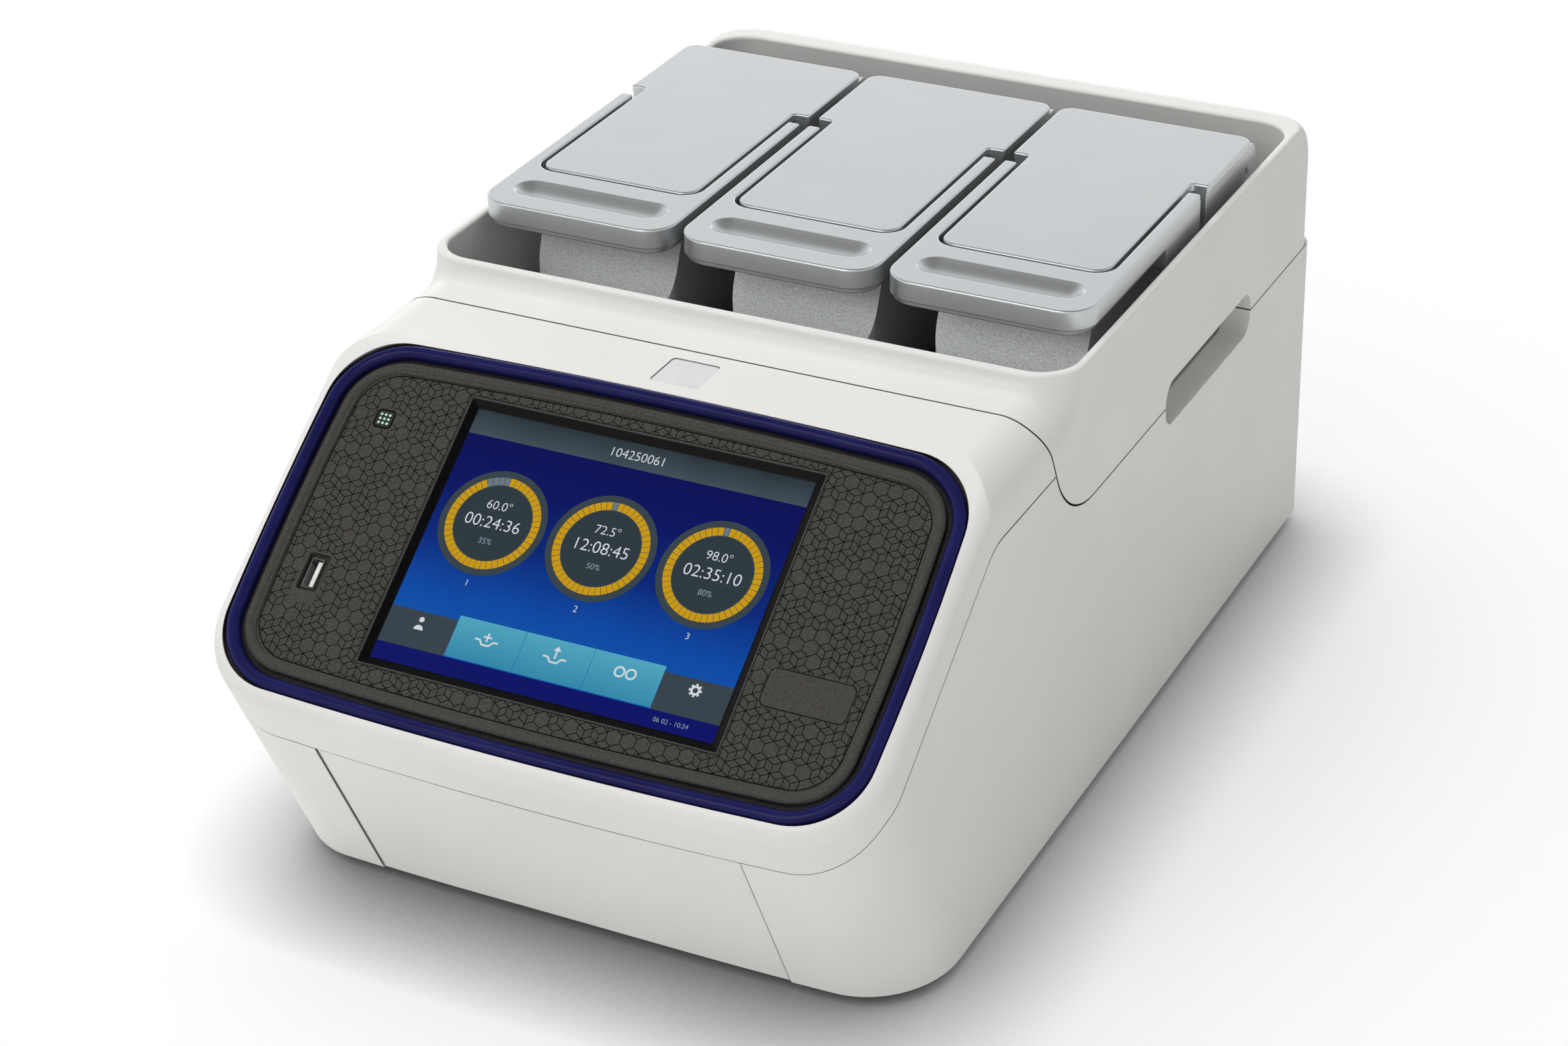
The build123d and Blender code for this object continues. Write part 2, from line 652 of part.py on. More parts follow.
# Fans: square frames with a spider, rotors with pitched blades
fan_front_y = bulkhead_y + bulkhead_thickness
fan_middle_y = fan_front_y + fan_depth / 2
fan_frames = []
fan_rotors = []
rotor_radius = fan_bore / 2 - blade_gap
spider_width = 6.0
spider_thickness = 3.0
rotor_length = fan_depth - spider_thickness - 4
for n in (-1, 0, 1):
    x = n * lid_pitch
    fan_bulkhead -= y_cylinder(fan_bore / 2, bulkhead_y - 1, fan_front_y + 1, x, fan_z)
    half = fan_size / 2
    frame = block(x - half, x + half, fan_front_y, fan_front_y + fan_depth, fan_z - half, fan_z + half)
    frame -= y_cylinder(fan_bore / 2, fan_front_y - 1, fan_front_y + fan_depth + 1, x, fan_z)
    spider_y = fan_front_y + fan_depth - spider_thickness
    spider = y_cylinder(fan_hub_radius, spider_y, fan_front_y + fan_depth, x, fan_z)
    spider += block(x - half + 1, x + half - 1, spider_y, fan_front_y + fan_depth,
                    fan_z - spider_width / 2, fan_z + spider_width / 2)
    spider += block(x - spider_width / 2, x + spider_width / 2, spider_y, fan_front_y + fan_depth,
                    fan_z - half + 1, fan_z + half - 1)
    fan_frames.append(frame + spider)
    rotor = y_cylinder(fan_hub_radius, fan_front_y + 2, spider_y - 0.5, x, fan_z)
    for k in range(blade_count):
        blade = Box(blade_thickness, rotor_length / cos(radians(blade_pitch)) * 0.8,
                    rotor_radius - fan_hub_radius + 4)
        lift = Pos(0, 0, fan_hub_radius - 4 + (rotor_radius - fan_hub_radius + 4) / 2)
        placed = Pos(x, fan_front_y + 2 + rotor_length / 2, fan_z) \
            * Rot(0, k * 360 / blade_count, 0) * lift * Rot(0, 0, blade_pitch) * blade
        rotor += placed
    rotor &= y_cylinder(rotor_radius, fan_front_y + 1, spider_y - 0.5, x, fan_z)
    fan_rotors.append(rotor)

# Power supply, main board and its stand-offs
power_supply = block(supply_x - supply_width / 2, supply_x + supply_width / 2,
                     supply_y - supply_length / 2, supply_y + supply_length / 2,
                     tray_top_z, tray_top_z + supply_height)
board_top_z = board_low_z + board_thickness
main_board = block(board_x - board_width / 2, board_x + board_width / 2,
                   board_y - board_length / 2, board_y + board_length / 2, board_low_z, board_top_z)
for left, right, front, back, height in board_parts:
    main_board += block(board_x + left * board_width, board_x + right * board_width,
                        board_y + front * board_length, board_y + back * board_length,
                        board_top_z, board_top_z + height * board_thickness)
board_standoffs = []
for ux in (-1, 1):
    for uy in (-1, 1):
        post = Cylinder(standoff_radius, board_low_z - tray_top_z)
        place = Pos(board_x + ux * (board_width / 2 - standoff_inset),
                    board_y + uy * (board_length / 2 - standoff_inset), (board_low_z + tray_top_z) / 2)
        board_standoffs.append(place * post)

# Rear panel behind the housing's rear wall, with round fields of exhaust slots
plate_half = rear_opening_half + rear_plate_margin
rear_sheet = Pos(0, (rear_opening_low + rear_opening_high) / 2) * Rectangle(
    2 * plate_half, rear_opening_high - rear_opening_low + 2 * rear_plate_margin)
rear_panel = extrude(rear_face.offset(-wall - rear_plate) * rear_sheet, amount=rear_plate)
slots_each_side = 4
fan_up = (fan_z - foot_height) / lean_cos
for n in (-1, 0, 1):
    for k in range(-slots_each_side, slots_each_side + 1):
        half_length = sqrt((fan_bore / 2) ** 2 - (k * slot_pitch) ** 2)
        slot = Pos(-n * lid_pitch + k * slot_pitch, fan_up) * Rectangle(slot_width, 2 * half_length)
        rear_panel -= extrude(rear_face.offset(-wall - rear_plate - 1) * slot, amount=rear_plate + 2)
inlet_place = Pos(inlet_x, inlet_up)
rocker_place = Pos(rocker_x, inlet_up)


def on_rear(face, low, high):
    """A face on the rear wall's plane, between two levels out from the wall."""
    return extrude(rear_face.offset(low) * face, amount=high - low)


inlet_body_face = inlet_place * Rectangle(inlet_width, inlet_height)
rocker_body_face = rocker_place * Rectangle(rocker_width + 4, rocker_height + 3)
rear_panel -= on_rear(inlet_body_face, -wall - rear_plate - 1, 0)
rear_panel -= on_rear(rocker_body_face, -wall - rear_plate - 1, 0)
flange_top = -wall + 2.5
inlet_flange_face = inlet_place * RectangleRounded(
    inlet_width + 2 * inlet_flange, inlet_height + 2 * inlet_flange, 3)
inlet_hole = inlet_place * RectangleRounded(
    inlet_width - 2 * inlet_wall, inlet_height - 2 * inlet_wall, 2)
power_inlet = on_rear(inlet_flange_face, -wall, flange_top) \
    + on_rear(inlet_body_face, -wall - inlet_depth, -wall)
power_inlet -= on_rear(inlet_hole, -wall - inlet_depth + inlet_wall, flange_top + 1)
inlet_pins = []
for u, v in ((-pin_spread, -2.0), (0, 2.5), (pin_spread, -2.0)):
    pin = Pos(inlet_x + u, inlet_up + v) * Rectangle(pin_thickness, pin_width)
    inlet_pins.append(on_rear(pin, -wall - inlet_depth + inlet_wall, -wall - 2))
rocker_flange_face = rocker_place * RectangleRounded(rocker_width + 7, rocker_height + 7, 1.5)
rocker_hole = rocker_place * Rectangle(rocker_width + 0.6, rocker_height + 0.6)
rocker_frame = on_rear(rocker_flange_face, -wall, -wall + 1.5) \
    + on_rear(rocker_body_face, -wall - 16, -wall)
rocker_frame -= on_rear(rocker_hole, -wall - 14, flange_top + 1)

# Rocker of the power switch: two faces that meet at a shallow angle over its pivot
rocker_pivot_depth = -wall - 3.0
rocker_half = rocker_height / 2
rocker_slope = tan(radians(rocker_throw / 2))
rocker_reach = 1.5
profile = [(-rocker_half + 0.6, -4.0), (rocker_half - 0.6, -4.0),
           (rocker_half - 0.6, rocker_reach + 1.0), (0, rocker_reach),
           (-rocker_half + 0.6, rocker_reach + 1.0)]
rocker_side = Plane(origin=rear_face.from_local_coords((rocker_x, inlet_up, rocker_pivot_depth)),
                    x_dir=rear_face.y_dir, z_dir=rear_face.y_dir.cross(rear_face.z_dir))
rocker_solid = extrude(rocker_side * make_face(Polyline(*profile, close=True)),
                       amount=rocker_width / 2, both=True)
stud_half = rocker_width / 2 + 1.2
stud_y, stud_z = rocker_side.origin.Y, rocker_side.origin.Z
rocker_solid += x_cylinder(rocker_stud_radius, rocker_side.origin.X - stud_half,
                           rocker_side.origin.X + stud_half, stud_y, stud_z)
rocker_axis = Axis(rocker_side.origin, (1, 0, 0))
power_rocker = rocker_solid.rotate(rocker_axis, rocker_throw / 2)
rocker_frame -= x_cylinder(rocker_stud_radius + hinge_clearance, rocker_side.origin.X - stud_half - 0.1,
                           rocker_side.origin.X + stud_half + 0.1, stud_y, stud_z)

# Feet, floor screws and the intake filter over the floor's slots
rubber_feet = []
cover_screws = []
for x in (-foot_x, foot_x):
    for y in (foot_front_y, foot_rear_y):
        rubber_feet.append(Pos(x, y, foot_height / 2) * Cone(foot_radius - 1, foot_radius, foot_height))
        inward = -1 if y > 0 else 1
        cover_screws.append(Pos(x, y + inward * 25, foot_height - screw_head / 2)
                            * Cylinder(screw_radius, screw_head))
intake_half = intake_count * intake_pitch / 2
intake_filter = block(-intake_half, intake_half, intake_front_y - 3, intake_rear_y + 3,
                      tray_low_z, tray_low_z + filter_thickness)

# Lids
lid_half = lid_width / 2
panel_half = lid_panel_width / 2
plate_low = lid_top_z - lid_plate
skirt_out = lid_half - lid_skirt_inset
skirt_in = skirt_out - lid_skirt
panel_skirt_out = panel_half - lid_skirt_inset
panel_skirt_in = panel_skirt_out - lid_skirt
lid_plan = [(-panel_half, lid_panel_front_y), (panel_half, lid_panel_front_y),
            (panel_half, notch_rear_y), (lid_half, notch_rear_y), (lid_half, lid_rear_y),
            (-lid_half, lid_rear_y), (-lid_half, notch_rear_y), (-panel_half, notch_rear_y)]
lid_plan_radii = [lid_panel_radius, lid_panel_radius, 2, 1, lid_rear_radius, lid_rear_radius, 1, 2]


def lid_cover():
    """Silver cover: flat top, side walls that end in round hinge cheeks, open underneath."""
    top = plan_prism(lid_plan, lid_plan_radii, plate_low, lid_top_z)
    top = fillet(top_edges(top, lid_top_z), lid_edge_round)
    barrel_y = hinge_y
    wall_side = side_prism(
        [(notch_rear_y, plate_low), (notch_rear_y, lid_skirt_low_z),
         (barrel_y, lid_skirt_low_z), (barrel_y, plate_low)],
        [0, 3, 0, 0])
    cheek = x_cylinder(hinge_barrel_radius - 0.01, -FAR, FAR, hinge_y, hinge_z)
    profile_solid = (wall_side + cheek) & block(-FAR, FAR, -FAR, FAR, 0, plate_low + 0.01)
    outer = profile_solid & block(-skirt_out, skirt_out, -FAR, FAR, 0, FAR)
    inside = block(-skirt_in, skirt_in, notch_rear_y + lid_skirt, FAR, 0, FAR)
    walls = outer - inside
    shell = x_cylinder(hinge_barrel_radius - 0.01, -skirt_in, skirt_in, hinge_y, hinge_z)
    shell -= x_cylinder(hinge_barrel_radius - lid_skirt, -skirt_in, skirt_in, hinge_y, hinge_z)
    rear_wall = shell & block(-FAR, FAR, hinge_y, FAR, hinge_z + hinge_barrel_radius * 0.45, plate_low + 0.01)
    skirt_radius = lid_panel_radius - lid_skirt_inset
    front_skirt = plan_prism(
        rectangle_points(panel_skirt_out, lid_panel_front_y + lid_skirt_inset, notch_rear_y + 1),
        [skirt_radius, skirt_radius, 0, 0], frame_low_z + 4, plate_low)
    front_skirt -= block(-panel_skirt_in, panel_skirt_in,
                         lid_panel_front_y + lid_skirt_inset + lid_skirt, FAR, 0, FAR)
    cover = top + walls + rear_wall + front_skirt
    cover -= block(-panel_skirt_in, panel_skirt_in, notch_rear_y - 1, notch_rear_y + lid_skirt + 1,
                   0, plate_low)
    cover -= x_cylinder(hinge_pin_radius + hinge_clearance, -FAR, FAR, hinge_y, hinge_z)
    cover -= x_cylinder(shaft_radius + 0.5, -FAR, FAR, pivot_y, pivot_z)
    return cover


frame_half = panel_skirt_in - 0.3
plate_travel = 1.5
plate_top_z = pivot_z - cam_offset * cos(radians(cam_lead)) - cam_radius - cam_gap
frame_top_z = plate_low
plate_pocket_half = frame_half - frame_wall


def lid_frame():
    """Cast frame inside the lid, with the pocket that guides the heated plate."""
    body = block(-frame_half, frame_half, frame_front_y, frame_rear_y, frame_low_z, frame_top_z)
    body -= block(-plate_pocket_half, plate_pocket_half, frame_front_y + frame_wall,
                  plate_rear_y + plate_gap, 0, plate_top_z + plate_travel + 1)
    body -= block(-plate_pocket_half, plate_pocket_half, plate_rear_y + 6, frame_rear_y - frame_wall,
                  0, frame_top_z - frame_wall)
    reach = cam_offset + cam_radius + 1
    for side in (-1, 1):
        body -= block(side * cam_x - cam_width / 2 - 1, side * cam_x + cam_width / 2 + 1,
                      pivot_y - reach, pivot_y + reach, 0, FAR)
    body -= x_cylinder(shaft_radius + hinge_clearance, -FAR, FAR, pivot_y, pivot_z)
    return body


def heated_plate():
    """Heated plate that presses on the tube caps."""
    return plan_prism(
        rectangle_points(plate_pocket_half - plate_gap, frame_front_y + frame_wall + plate_gap,
                         plate_rear_y),
        [2] * 4, plate_low_z, plate_top_z)


def cam_shaft():
    """Cross shaft of the lever with two eccentric cams above the heated plate."""
    shaft = x_cylinder(shaft_radius, -lid_half + 0.5, lid_half - 0.5, pivot_y, pivot_z)
    lobe_y = pivot_y - cam_offset * sin(radians(cam_lead))
    lobe_z = pivot_z - cam_offset * cos(radians(cam_lead))
    for side in (-1, 1):
        shaft += x_cylinder(cam_radius, side * cam_x - cam_width / 2, side * cam_x + cam_width / 2,
                            lobe_y, lobe_z)
    return shaft


arm_inner = panel_half + lid_groove
lever_low_z = lid_top_z - lever_height
arm_low_z = lid_top_z - lever_arm_height


def lever():
    """U-shaped lever around the lid's panel, with a finger scoop across its front."""
    inner_y = lid_panel_front_y - lid_groove
    plan = [(-lid_half, lid_front_y), (lid_half, lid_front_y), (lid_half, notch_front_y),
            (arm_inner, notch_front_y), (arm_inner, inner_y), (-arm_inner, inner_y),
            (-arm_inner, notch_front_y), (-lid_half, notch_front_y)]
    inner_radius = lid_panel_radius + lid_groove
    radii = [lid_front_radius, lid_front_radius, 1, 1, inner_radius, inner_radius, 1, 1]
    body = plan_prism(plan, radii, arm_low_z, lid_top_z)
    body = fillet(top_edges(body, lid_top_z), lid_edge_round)
    low_half = lid_half - lever_step
    low_radius = lid_front_radius - lever_step
    body += plan_prism(rectangle_points(low_half, lid_front_y + lever_step, inner_y),
                       [low_radius, low_radius, 0, 0], lever_low_z, arm_low_z)
    boss = side_prism(
        [(lever_boss_front_y, lid_top_z - 3), (lever_boss_front_y, lever_boss_low_z),
         (notch_front_y, lever_boss_low_z), (notch_front_y, lid_top_z - 3)],
        [0, 3, 5, 0])
    for side in (-1, 1):
        x0, x1 = (arm_inner, lid_half) if side > 0 else (-lid_half, -arm_inner)
        body += boss & block(x0, x1, -FAR, FAR, 0, FAR)
    groove_radius = ((scoop_width / 2) ** 2 + scoop_depth ** 2) / (2 * scoop_depth)
    groove_z = lid_top_z + groove_radius - scoop_depth
    end_x = (scoop_length - scoop_width) / 2
    body -= x_cylinder(groove_radius, -end_x, end_x, scoop_y, groove_z)
    for side in (-1, 1):
        body -= Pos(side * end_x, scoop_y, groove_z) * Sphere(groove_radius)
    body -= x_cylinder(shaft_radius + 0.02, -lid_half + 0.5, lid_half - 0.5, pivot_y, pivot_z)
    return body


def block_housing():
    """Textured housing around a block, with a sloped front and an inner ledge."""
    half = housing_width / 2
    body = plan_prism(rectangle_points(half, housing_front_y, housing_rear_y),
                      [housing_corner, housing_corner, 3, 3], module_seam_z, housing_top_z)
    body &= side_prism(
        [(housing_front_y, 0), (housing_front_y, housing_slope_z),
         (housing_top_front_y, housing_top_z), (FAR, housing_top_z), (FAR, 0)],
        [0, 12, 4, 0, 0])
    inner = half - housing_wall
    body -= block(-inner, inner, housing_front_y + duct_front_gap, housing_rear_y - duct_rear_gap,
                  0, housing_ledge_z)
    body -= block(-block_width / 2 - block_gap, block_width / 2 + block_gap,
                  block_y - block_length / 2 - block_gap, block_y + block_length / 2 + block_gap, 0, FAR)
    return body


def sample_block():
    """Aluminium block with a grid of conical wells."""
    low = housing_ledge_z + peltier_thickness
    body = block(-block_width / 2, block_width / 2, block_y - block_length / 2,
                 block_y + block_length / 2, low, block_top_z)
    for i in range(well_columns):
        for j in range(well_rows):
            x = (i - (well_columns - 1) / 2) * well_column_pitch
            y = block_y + (j - (well_rows - 1) / 2) * well_row_pitch
            well = Cone(well_bottom_radius, well_top_radius, well_depth)
            body -= Pos(x, y, block_top_z - well_depth / 2) * well
    return body


def heat_sink():
    """Finned heat sink that hangs through the deck into the air duct."""
    half, y0, y1 = sink_width / 2, block_y - sink_length / 2, block_y + sink_length / 2
    base_low = housing_ledge_z - sink_base_thickness
    body = block(-half, half, y0, y1, base_low, housing_ledge_z)
    pitch = (sink_width - fin_thickness) / (fin_count - 1)
    for n in range(fin_count):
        x = -half + n * pitch
        body += block(x, x + fin_thickness, y0, y1, base_low - fin_height, base_low + 1)
    return body


cover_solid = lid_cover()
frame_solid = lid_frame()
plate_solid = heated_plate()
shaft_solid = cam_shaft()
lever_solid = lever()
housing_solid = block_housing()
block_solid = sample_block()
sink_solid = heat_sink()

# Peltier elements under each block
peltier_modules = []
for n in (-1, 0, 1):
    for k in (-1, 1):
        y = block_y + k * (peltier_length + 2) / 2
        peltier_modules.append(Pos(n * lid_pitch, y, housing_ledge_z + peltier_thickness / 2)
                               * Box(peltier_width, peltier_length, peltier_thickness))

# Hinge brackets on the deck, and the pins through them
bracket_outer = skirt_in - bracket_gap
bracket_half_length = 8.0
hinge_brackets = []
hinge_pins = []
for n in (-1, 0, 1):
    for side in (-1, 1):
        x0 = n * lid_pitch + side * bracket_outer
        x1 = x0 - side * bracket_thickness
        post = block(min(x0, x1), max(x0, x1), hinge_y - bracket_half_length,
                     hinge_y + bracket_half_length, module_seam_z, hinge_z)
        post += x_cylinder(bracket_half_length, min(x0, x1), max(x0, x1), hinge_y, hinge_z)
        post -= x_cylinder(hinge_pin_radius + 0.02, min(x0, x1) - 1, max(x0, x1) + 1, hinge_y, hinge_z)
        hinge_brackets.append(post)
    hinge_pins.append(x_cylinder(hinge_pin_radius, n * lid_pitch - skirt_out + 0.3,
                                 n * lid_pitch + skirt_out - 0.3, hinge_y, hinge_z))

# Write every node
os.makedirs("parts", exist_ok=True)
save("base_housing", base_housing)
save("front_bezel", front_bezel)
save("front_lower_panel", front_lower_panel)
save("badge_plate", badge_plate)
save("trim_ring", trim_ring)
save("control_panel", control_panel)
save("name_plate", name_plate)
save("screen_glass", screen_glass)
save("lcd_module", lcd_module)
save("status_light", status_light)
save("usb_shell", usb_shell)
save("usb_tongue", usb_tongue)
save("rubber_feet", *rubber_feet)
save("cover_screws", *cover_screws)
save("intake_filter", intake_filter)
save("chassis_tray", chassis_tray)
save("module_supports", *module_supports)
save("fan_bulkhead", fan_bulkhead)
save("fan_frames", *fan_frames)
save("power_supply", power_supply)
save("main_board", main_board)
save("board_standoffs", *board_standoffs)
save("rear_panel", rear_panel)
save("power_inlet", power_inlet)
save("inlet_pins", *inlet_pins)
save("rocker_frame", rocker_frame)
save("power_rocker", power_rocker)
save("module_shroud", shroud)
save("module_deck", deck)
save("peltier_modules", *peltier_modules)
save("hinge_brackets", *hinge_brackets)
save("lid_hinge_pins", *hinge_pins)
for number, n in enumerate((-1, 0, 1), start=1):
    place = Pos(n * lid_pitch, 0, 0)
    save(f"block_housing_{number}", place * housing_solid)
    save(f"sample_block_{number}", place * block_solid)
    save(f"heat_sink_{number}", place * sink_solid)
    save(f"lid_cover_{number}", place * cover_solid)
    save(f"lid_frame_{number}", place * frame_solid)
    save(f"heated_plate_{number}", place * plate_solid)
    save(f"cam_shaft_{number}", place * shaft_solid)
    save(f"lever_{number}", place * lever_solid)
    save(f"fan_rotor_{number}", fan_rotors[number - 1])
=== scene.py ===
import math
import random

import bmesh
import bpy
from mathutils import Matrix, Vector
from mathutils.bvhtree import BVHTree


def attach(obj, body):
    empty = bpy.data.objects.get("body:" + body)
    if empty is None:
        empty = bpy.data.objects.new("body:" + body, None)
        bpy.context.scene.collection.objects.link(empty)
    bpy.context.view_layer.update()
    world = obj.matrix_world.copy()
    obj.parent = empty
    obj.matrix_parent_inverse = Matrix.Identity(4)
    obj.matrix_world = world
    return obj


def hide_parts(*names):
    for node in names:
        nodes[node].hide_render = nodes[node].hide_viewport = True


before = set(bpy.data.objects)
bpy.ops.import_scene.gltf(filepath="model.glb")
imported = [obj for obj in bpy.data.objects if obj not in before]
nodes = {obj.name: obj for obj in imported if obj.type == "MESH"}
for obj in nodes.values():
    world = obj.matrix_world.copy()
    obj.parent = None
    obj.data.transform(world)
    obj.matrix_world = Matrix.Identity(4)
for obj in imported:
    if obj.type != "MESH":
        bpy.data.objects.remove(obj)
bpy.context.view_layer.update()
mm = 0.001


# Chassis: a folded tray on the floor, two uprights that carry the block module, and the fan
# bulkhead. Zinc-plated steel sheet, punched, folded and spot welded.
def linear(code):
    """An sRGB hex colour as the linear colour that a shader takes."""
    channels = [int(code[i:i + 2], 16) / 255 for i in (1, 3, 5)]
    return tuple(c / 12.92 if c <= 0.04045 else ((c + 0.055) / 1.055) ** 2.4 for c in channels) + (1.0,)


def add(tree, kind, links=(), **settings):
    """Adds a shader node. Settings are its properties or input values, links are (input, socket)."""
    made = tree.nodes.new("ShaderNode" + kind)
    for name, value in settings.items():
        if hasattr(made, name):
            setattr(made, name, value)
        else:
            made.inputs[name.replace("_", " ")].default_value = value
    for name, socket in links:
        tree.links.new(socket, made.inputs[name])
    return made


def new_material(name, colour, roughness, metallic=0.0, gloss=0.5):
    """A material with its shader's constants set, returned with its tree and shader."""
    made = bpy.data.materials.new(name)
    made.use_nodes = True
    shader = made.node_tree.nodes["Principled BSDF"]
    shader.inputs["Base Color"].default_value = linear(colour)
    shader.inputs["Roughness"].default_value = roughness
    shader.inputs["Metallic"].default_value = metallic
    shader.inputs["Specular IOR Level"].default_value = gloss
    return made, made.node_tree, shader


def dress(material, *names):
    """Gives CAD nodes a material."""
    for name in names:
        nodes[name].data.materials.clear()
        nodes[name].data.materials.append(material)


def mottle(tree, shader, low, high, grain, detail=3.0):
    """Colour that wanders between two shades, with patches about as large as grain, in metres."""
    place = add(tree, "TexCoord")
    noise = add(tree, "TexNoise", [("Vector", place.outputs["Object"])], Scale=1 / grain, Detail=detail)
    ramp = add(tree, "ValToRGB", [("Fac", noise.outputs["Fac"])])
    ramp.color_ramp.elements[0].position = 0.35
    ramp.color_ramp.elements[0].color = linear(low)
    ramp.color_ramp.elements[1].position = 0.65
    ramp.color_ramp.elements[1].color = linear(high)
    tree.links.new(ramp.outputs["Color"], shader.inputs["Base Color"])
    return place


def grain_bump(tree, shader, place, grain, depth, strength):
    """Surface grain as wide as grain, in metres."""
    noise = add(tree, "TexNoise", [("Vector", place.outputs["Object"])], Scale=1 / grain, Detail=2.0)
    bump = add(tree, "Bump", [("Height", noise.outputs["Fac"])], Distance=depth, Strength=strength)
    tree.links.new(bump.outputs["Normal"], shader.inputs["Normal"])
    return bump


def placed(name, build, material):
    """The piece that a finished bmesh makes, in the scene and with its material."""
    mesh = bpy.data.meshes.new(name)
    build.to_mesh(mesh)
    build.free()
    mesh.materials.append(material)
    piece = bpy.data.objects.new(name, mesh)
    bpy.context.scene.collection.objects.link(piece)
    return piece


zinc, tree, shader = new_material("zinc_plated_steel_sheet", "#9ea1a3", 0.42, 0.9)
place = mottle(tree, shader, "#8f9395", "#abaeb0", 12 * mm)
grain_bump(tree, shader, place, 0.8 * mm, 0.05 * mm, 0.3)
dress(zinc, "chassis_tray", "module_supports", "fan_bulkhead")


# Power supply, main board and the brass stand-offs under the board. The supply is a plain
# steel case, as are the hinge brackets and screws; the board is glass-epoxy laminate under a
# green solder mask.
steel, tree, shader = new_material("plain_steel_case", "#8c8f91", 0.36, 0.9)
place = mottle(tree, shader, "#818486", "#989b9d", 20 * mm)
grain_bump(tree, shader, place, 0.5 * mm, 0.03 * mm, 0.2)
dress(steel, "power_supply", "hinge_brackets", "cover_screws")

laminate, tree, shader = new_material("solder_masked_laminate", "#1c4a2c", 0.35)
place = mottle(tree, shader, "#173f25", "#215534", 6 * mm)
grain_bump(tree, shader, place, 1.2 * mm, 0.05 * mm, 0.3)
dress(laminate, "main_board")

brass, tree, shader = new_material("turned_brass", "#b08a4a", 0.3, 1.0)
mottle(tree, shader, "#a37e42", "#bd9754", 2 * mm)
dress(brass, "board_standoffs", "inlet_pins")


# Three axial fans on the bulkhead, and the power inlet and rocker switch in the rear panel.
# Frames, rotors and inlet are glass-filled nylon, moulded black; the rocker is polished
# polycarbonate.
nylon, tree, shader = new_material("moulded_black_nylon", "#17181a", 0.5)
place = mottle(tree, shader, "#141517", "#1c1d20", 5 * mm)
grain_bump(tree, shader, place, 0.4 * mm, 0.03 * mm, 0.4)
dress(nylon, "fan_frames", "fan_rotor_1", "fan_rotor_2", "fan_rotor_3",
      "power_inlet", "rocker_frame")

gloss_black, tree, shader = new_material("polished_black_polycarbonate", "#0d0e10", 0.12)
mottle(tree, shader, "#0b0c0e", "#111215", 4 * mm)
dress(gloss_black, "power_rocker")


# Rear panel with its slot fields, a steel sheet in grey powder coat that shows as fine
# orange peel.
powder, tree, shader = new_material("grey_powder_coat", "#55585a", 0.6)
place = mottle(tree, shader, "#505355", "#5b5e60", 3 * mm)
grain_bump(tree, shader, place, 0.9 * mm, 0.08 * mm, 0.5)
dress(powder, "rear_panel")


# Base housing, lower front panel, bezel and the block module's shroud. Warm white ABS,
# injection moulded with a fine spark-eroded grain, which keeps the highlights soft. The seams
# between them are deep and narrow; their walls carry painted shade and show as dark lines.
moulded_white, tree, shader = new_material("moulded_ABS_warm_white", "#e3e2df", 0.4)
place = mottle(tree, shader, "#e3e2df", "#e6e5e2", 60 * mm, detail=1.0)
plain_white = shader.inputs["Base Color"].links[0].from_socket
# Painted shade: where ambient occlusion finds the surface closed in, as inside seams and tight hollows, the
# base colour is mixed towards near black.
gap = add(tree, "AmbientOcclusion", samples=6, Distance=2 * mm)
depth = add(tree, "MapRange", [("Value", gap.outputs["AO"])], From_Min=0.5, From_Max=0.85)
seam_painted_shade = add(tree, "MixRGB", [("Fac", depth.outputs["Result"]), ("Color2", plain_white)])
seam_painted_shade.inputs["Color1"].default_value = linear("#2e2c28")
tree.links.new(seam_painted_shade.outputs["Color"], shader.inputs["Base Color"])
bump = grain_bump(tree, shader, place, 0.55 * mm, 0.02 * mm, 0.35)
eased = add(tree, "Bevel", samples=6, Radius=0.7 * mm)
tree.links.new(eased.outputs["Normal"], bump.inputs["Normal"])
dress(moulded_white, "base_housing", "front_lower_panel", "front_bezel", "module_shroud")


# Seam shade line: a thin grey cord laid on the lower front panel's edge beside the gap to
# bezel and housing, painted shade that stands in for the seam's shadow. It shows as a fine line
# down both sides of the chin and across its top.
seam_shade_grey, tree, shader = new_material("painted_seam_shade_grey", "#7f7c70", 0.6, gloss=0.3)
place = mottle(tree, shader, "#78756a", "#868376", 4 * mm)
grain_bump(tree, shader, place, 0.4 * mm, 0.02 * mm, 0.3)

seam_side, seam_inset = 95.25, 0.15
shade_line_radius, shade_line_depth = 0.3, 0.06
chin_mesh = nodes["front_lower_panel"].data
chin_surface = BVHTree.FromPolygons([corner.co for corner in chin_mesh.vertices],
                                    [face.vertices for face in chin_mesh.polygons])


def seam_spot(x, z):
    """The shade line's centre and outward direction, met from the front a little nearer the middle."""
    inwards = math.copysign(min(seam_inset, abs(x)), x)
    met, out, *_ = chin_surface.ray_cast(Vector((x - inwards, -300, z)) * mm, Vector((0, 1, 0)))
    return Vector((x * mm, met.y, met.z)) - out * shade_line_depth * mm, out


side_heights = [9, 12, 16, 22, 30, 38, 46, 54, 62, 70, 78, 84, 88]
seam_head, seam_bow = 89.9, 0.97
seam_path = [seam_spot(-seam_side, z) for z in side_heights]
for step in range(-12, 13):
    across = step / 12
    seam_path.append(seam_spot(seam_side * across, seam_head + seam_bow * across ** 2))
seam_path += [seam_spot(seam_side, z) for z in reversed(side_heights)]

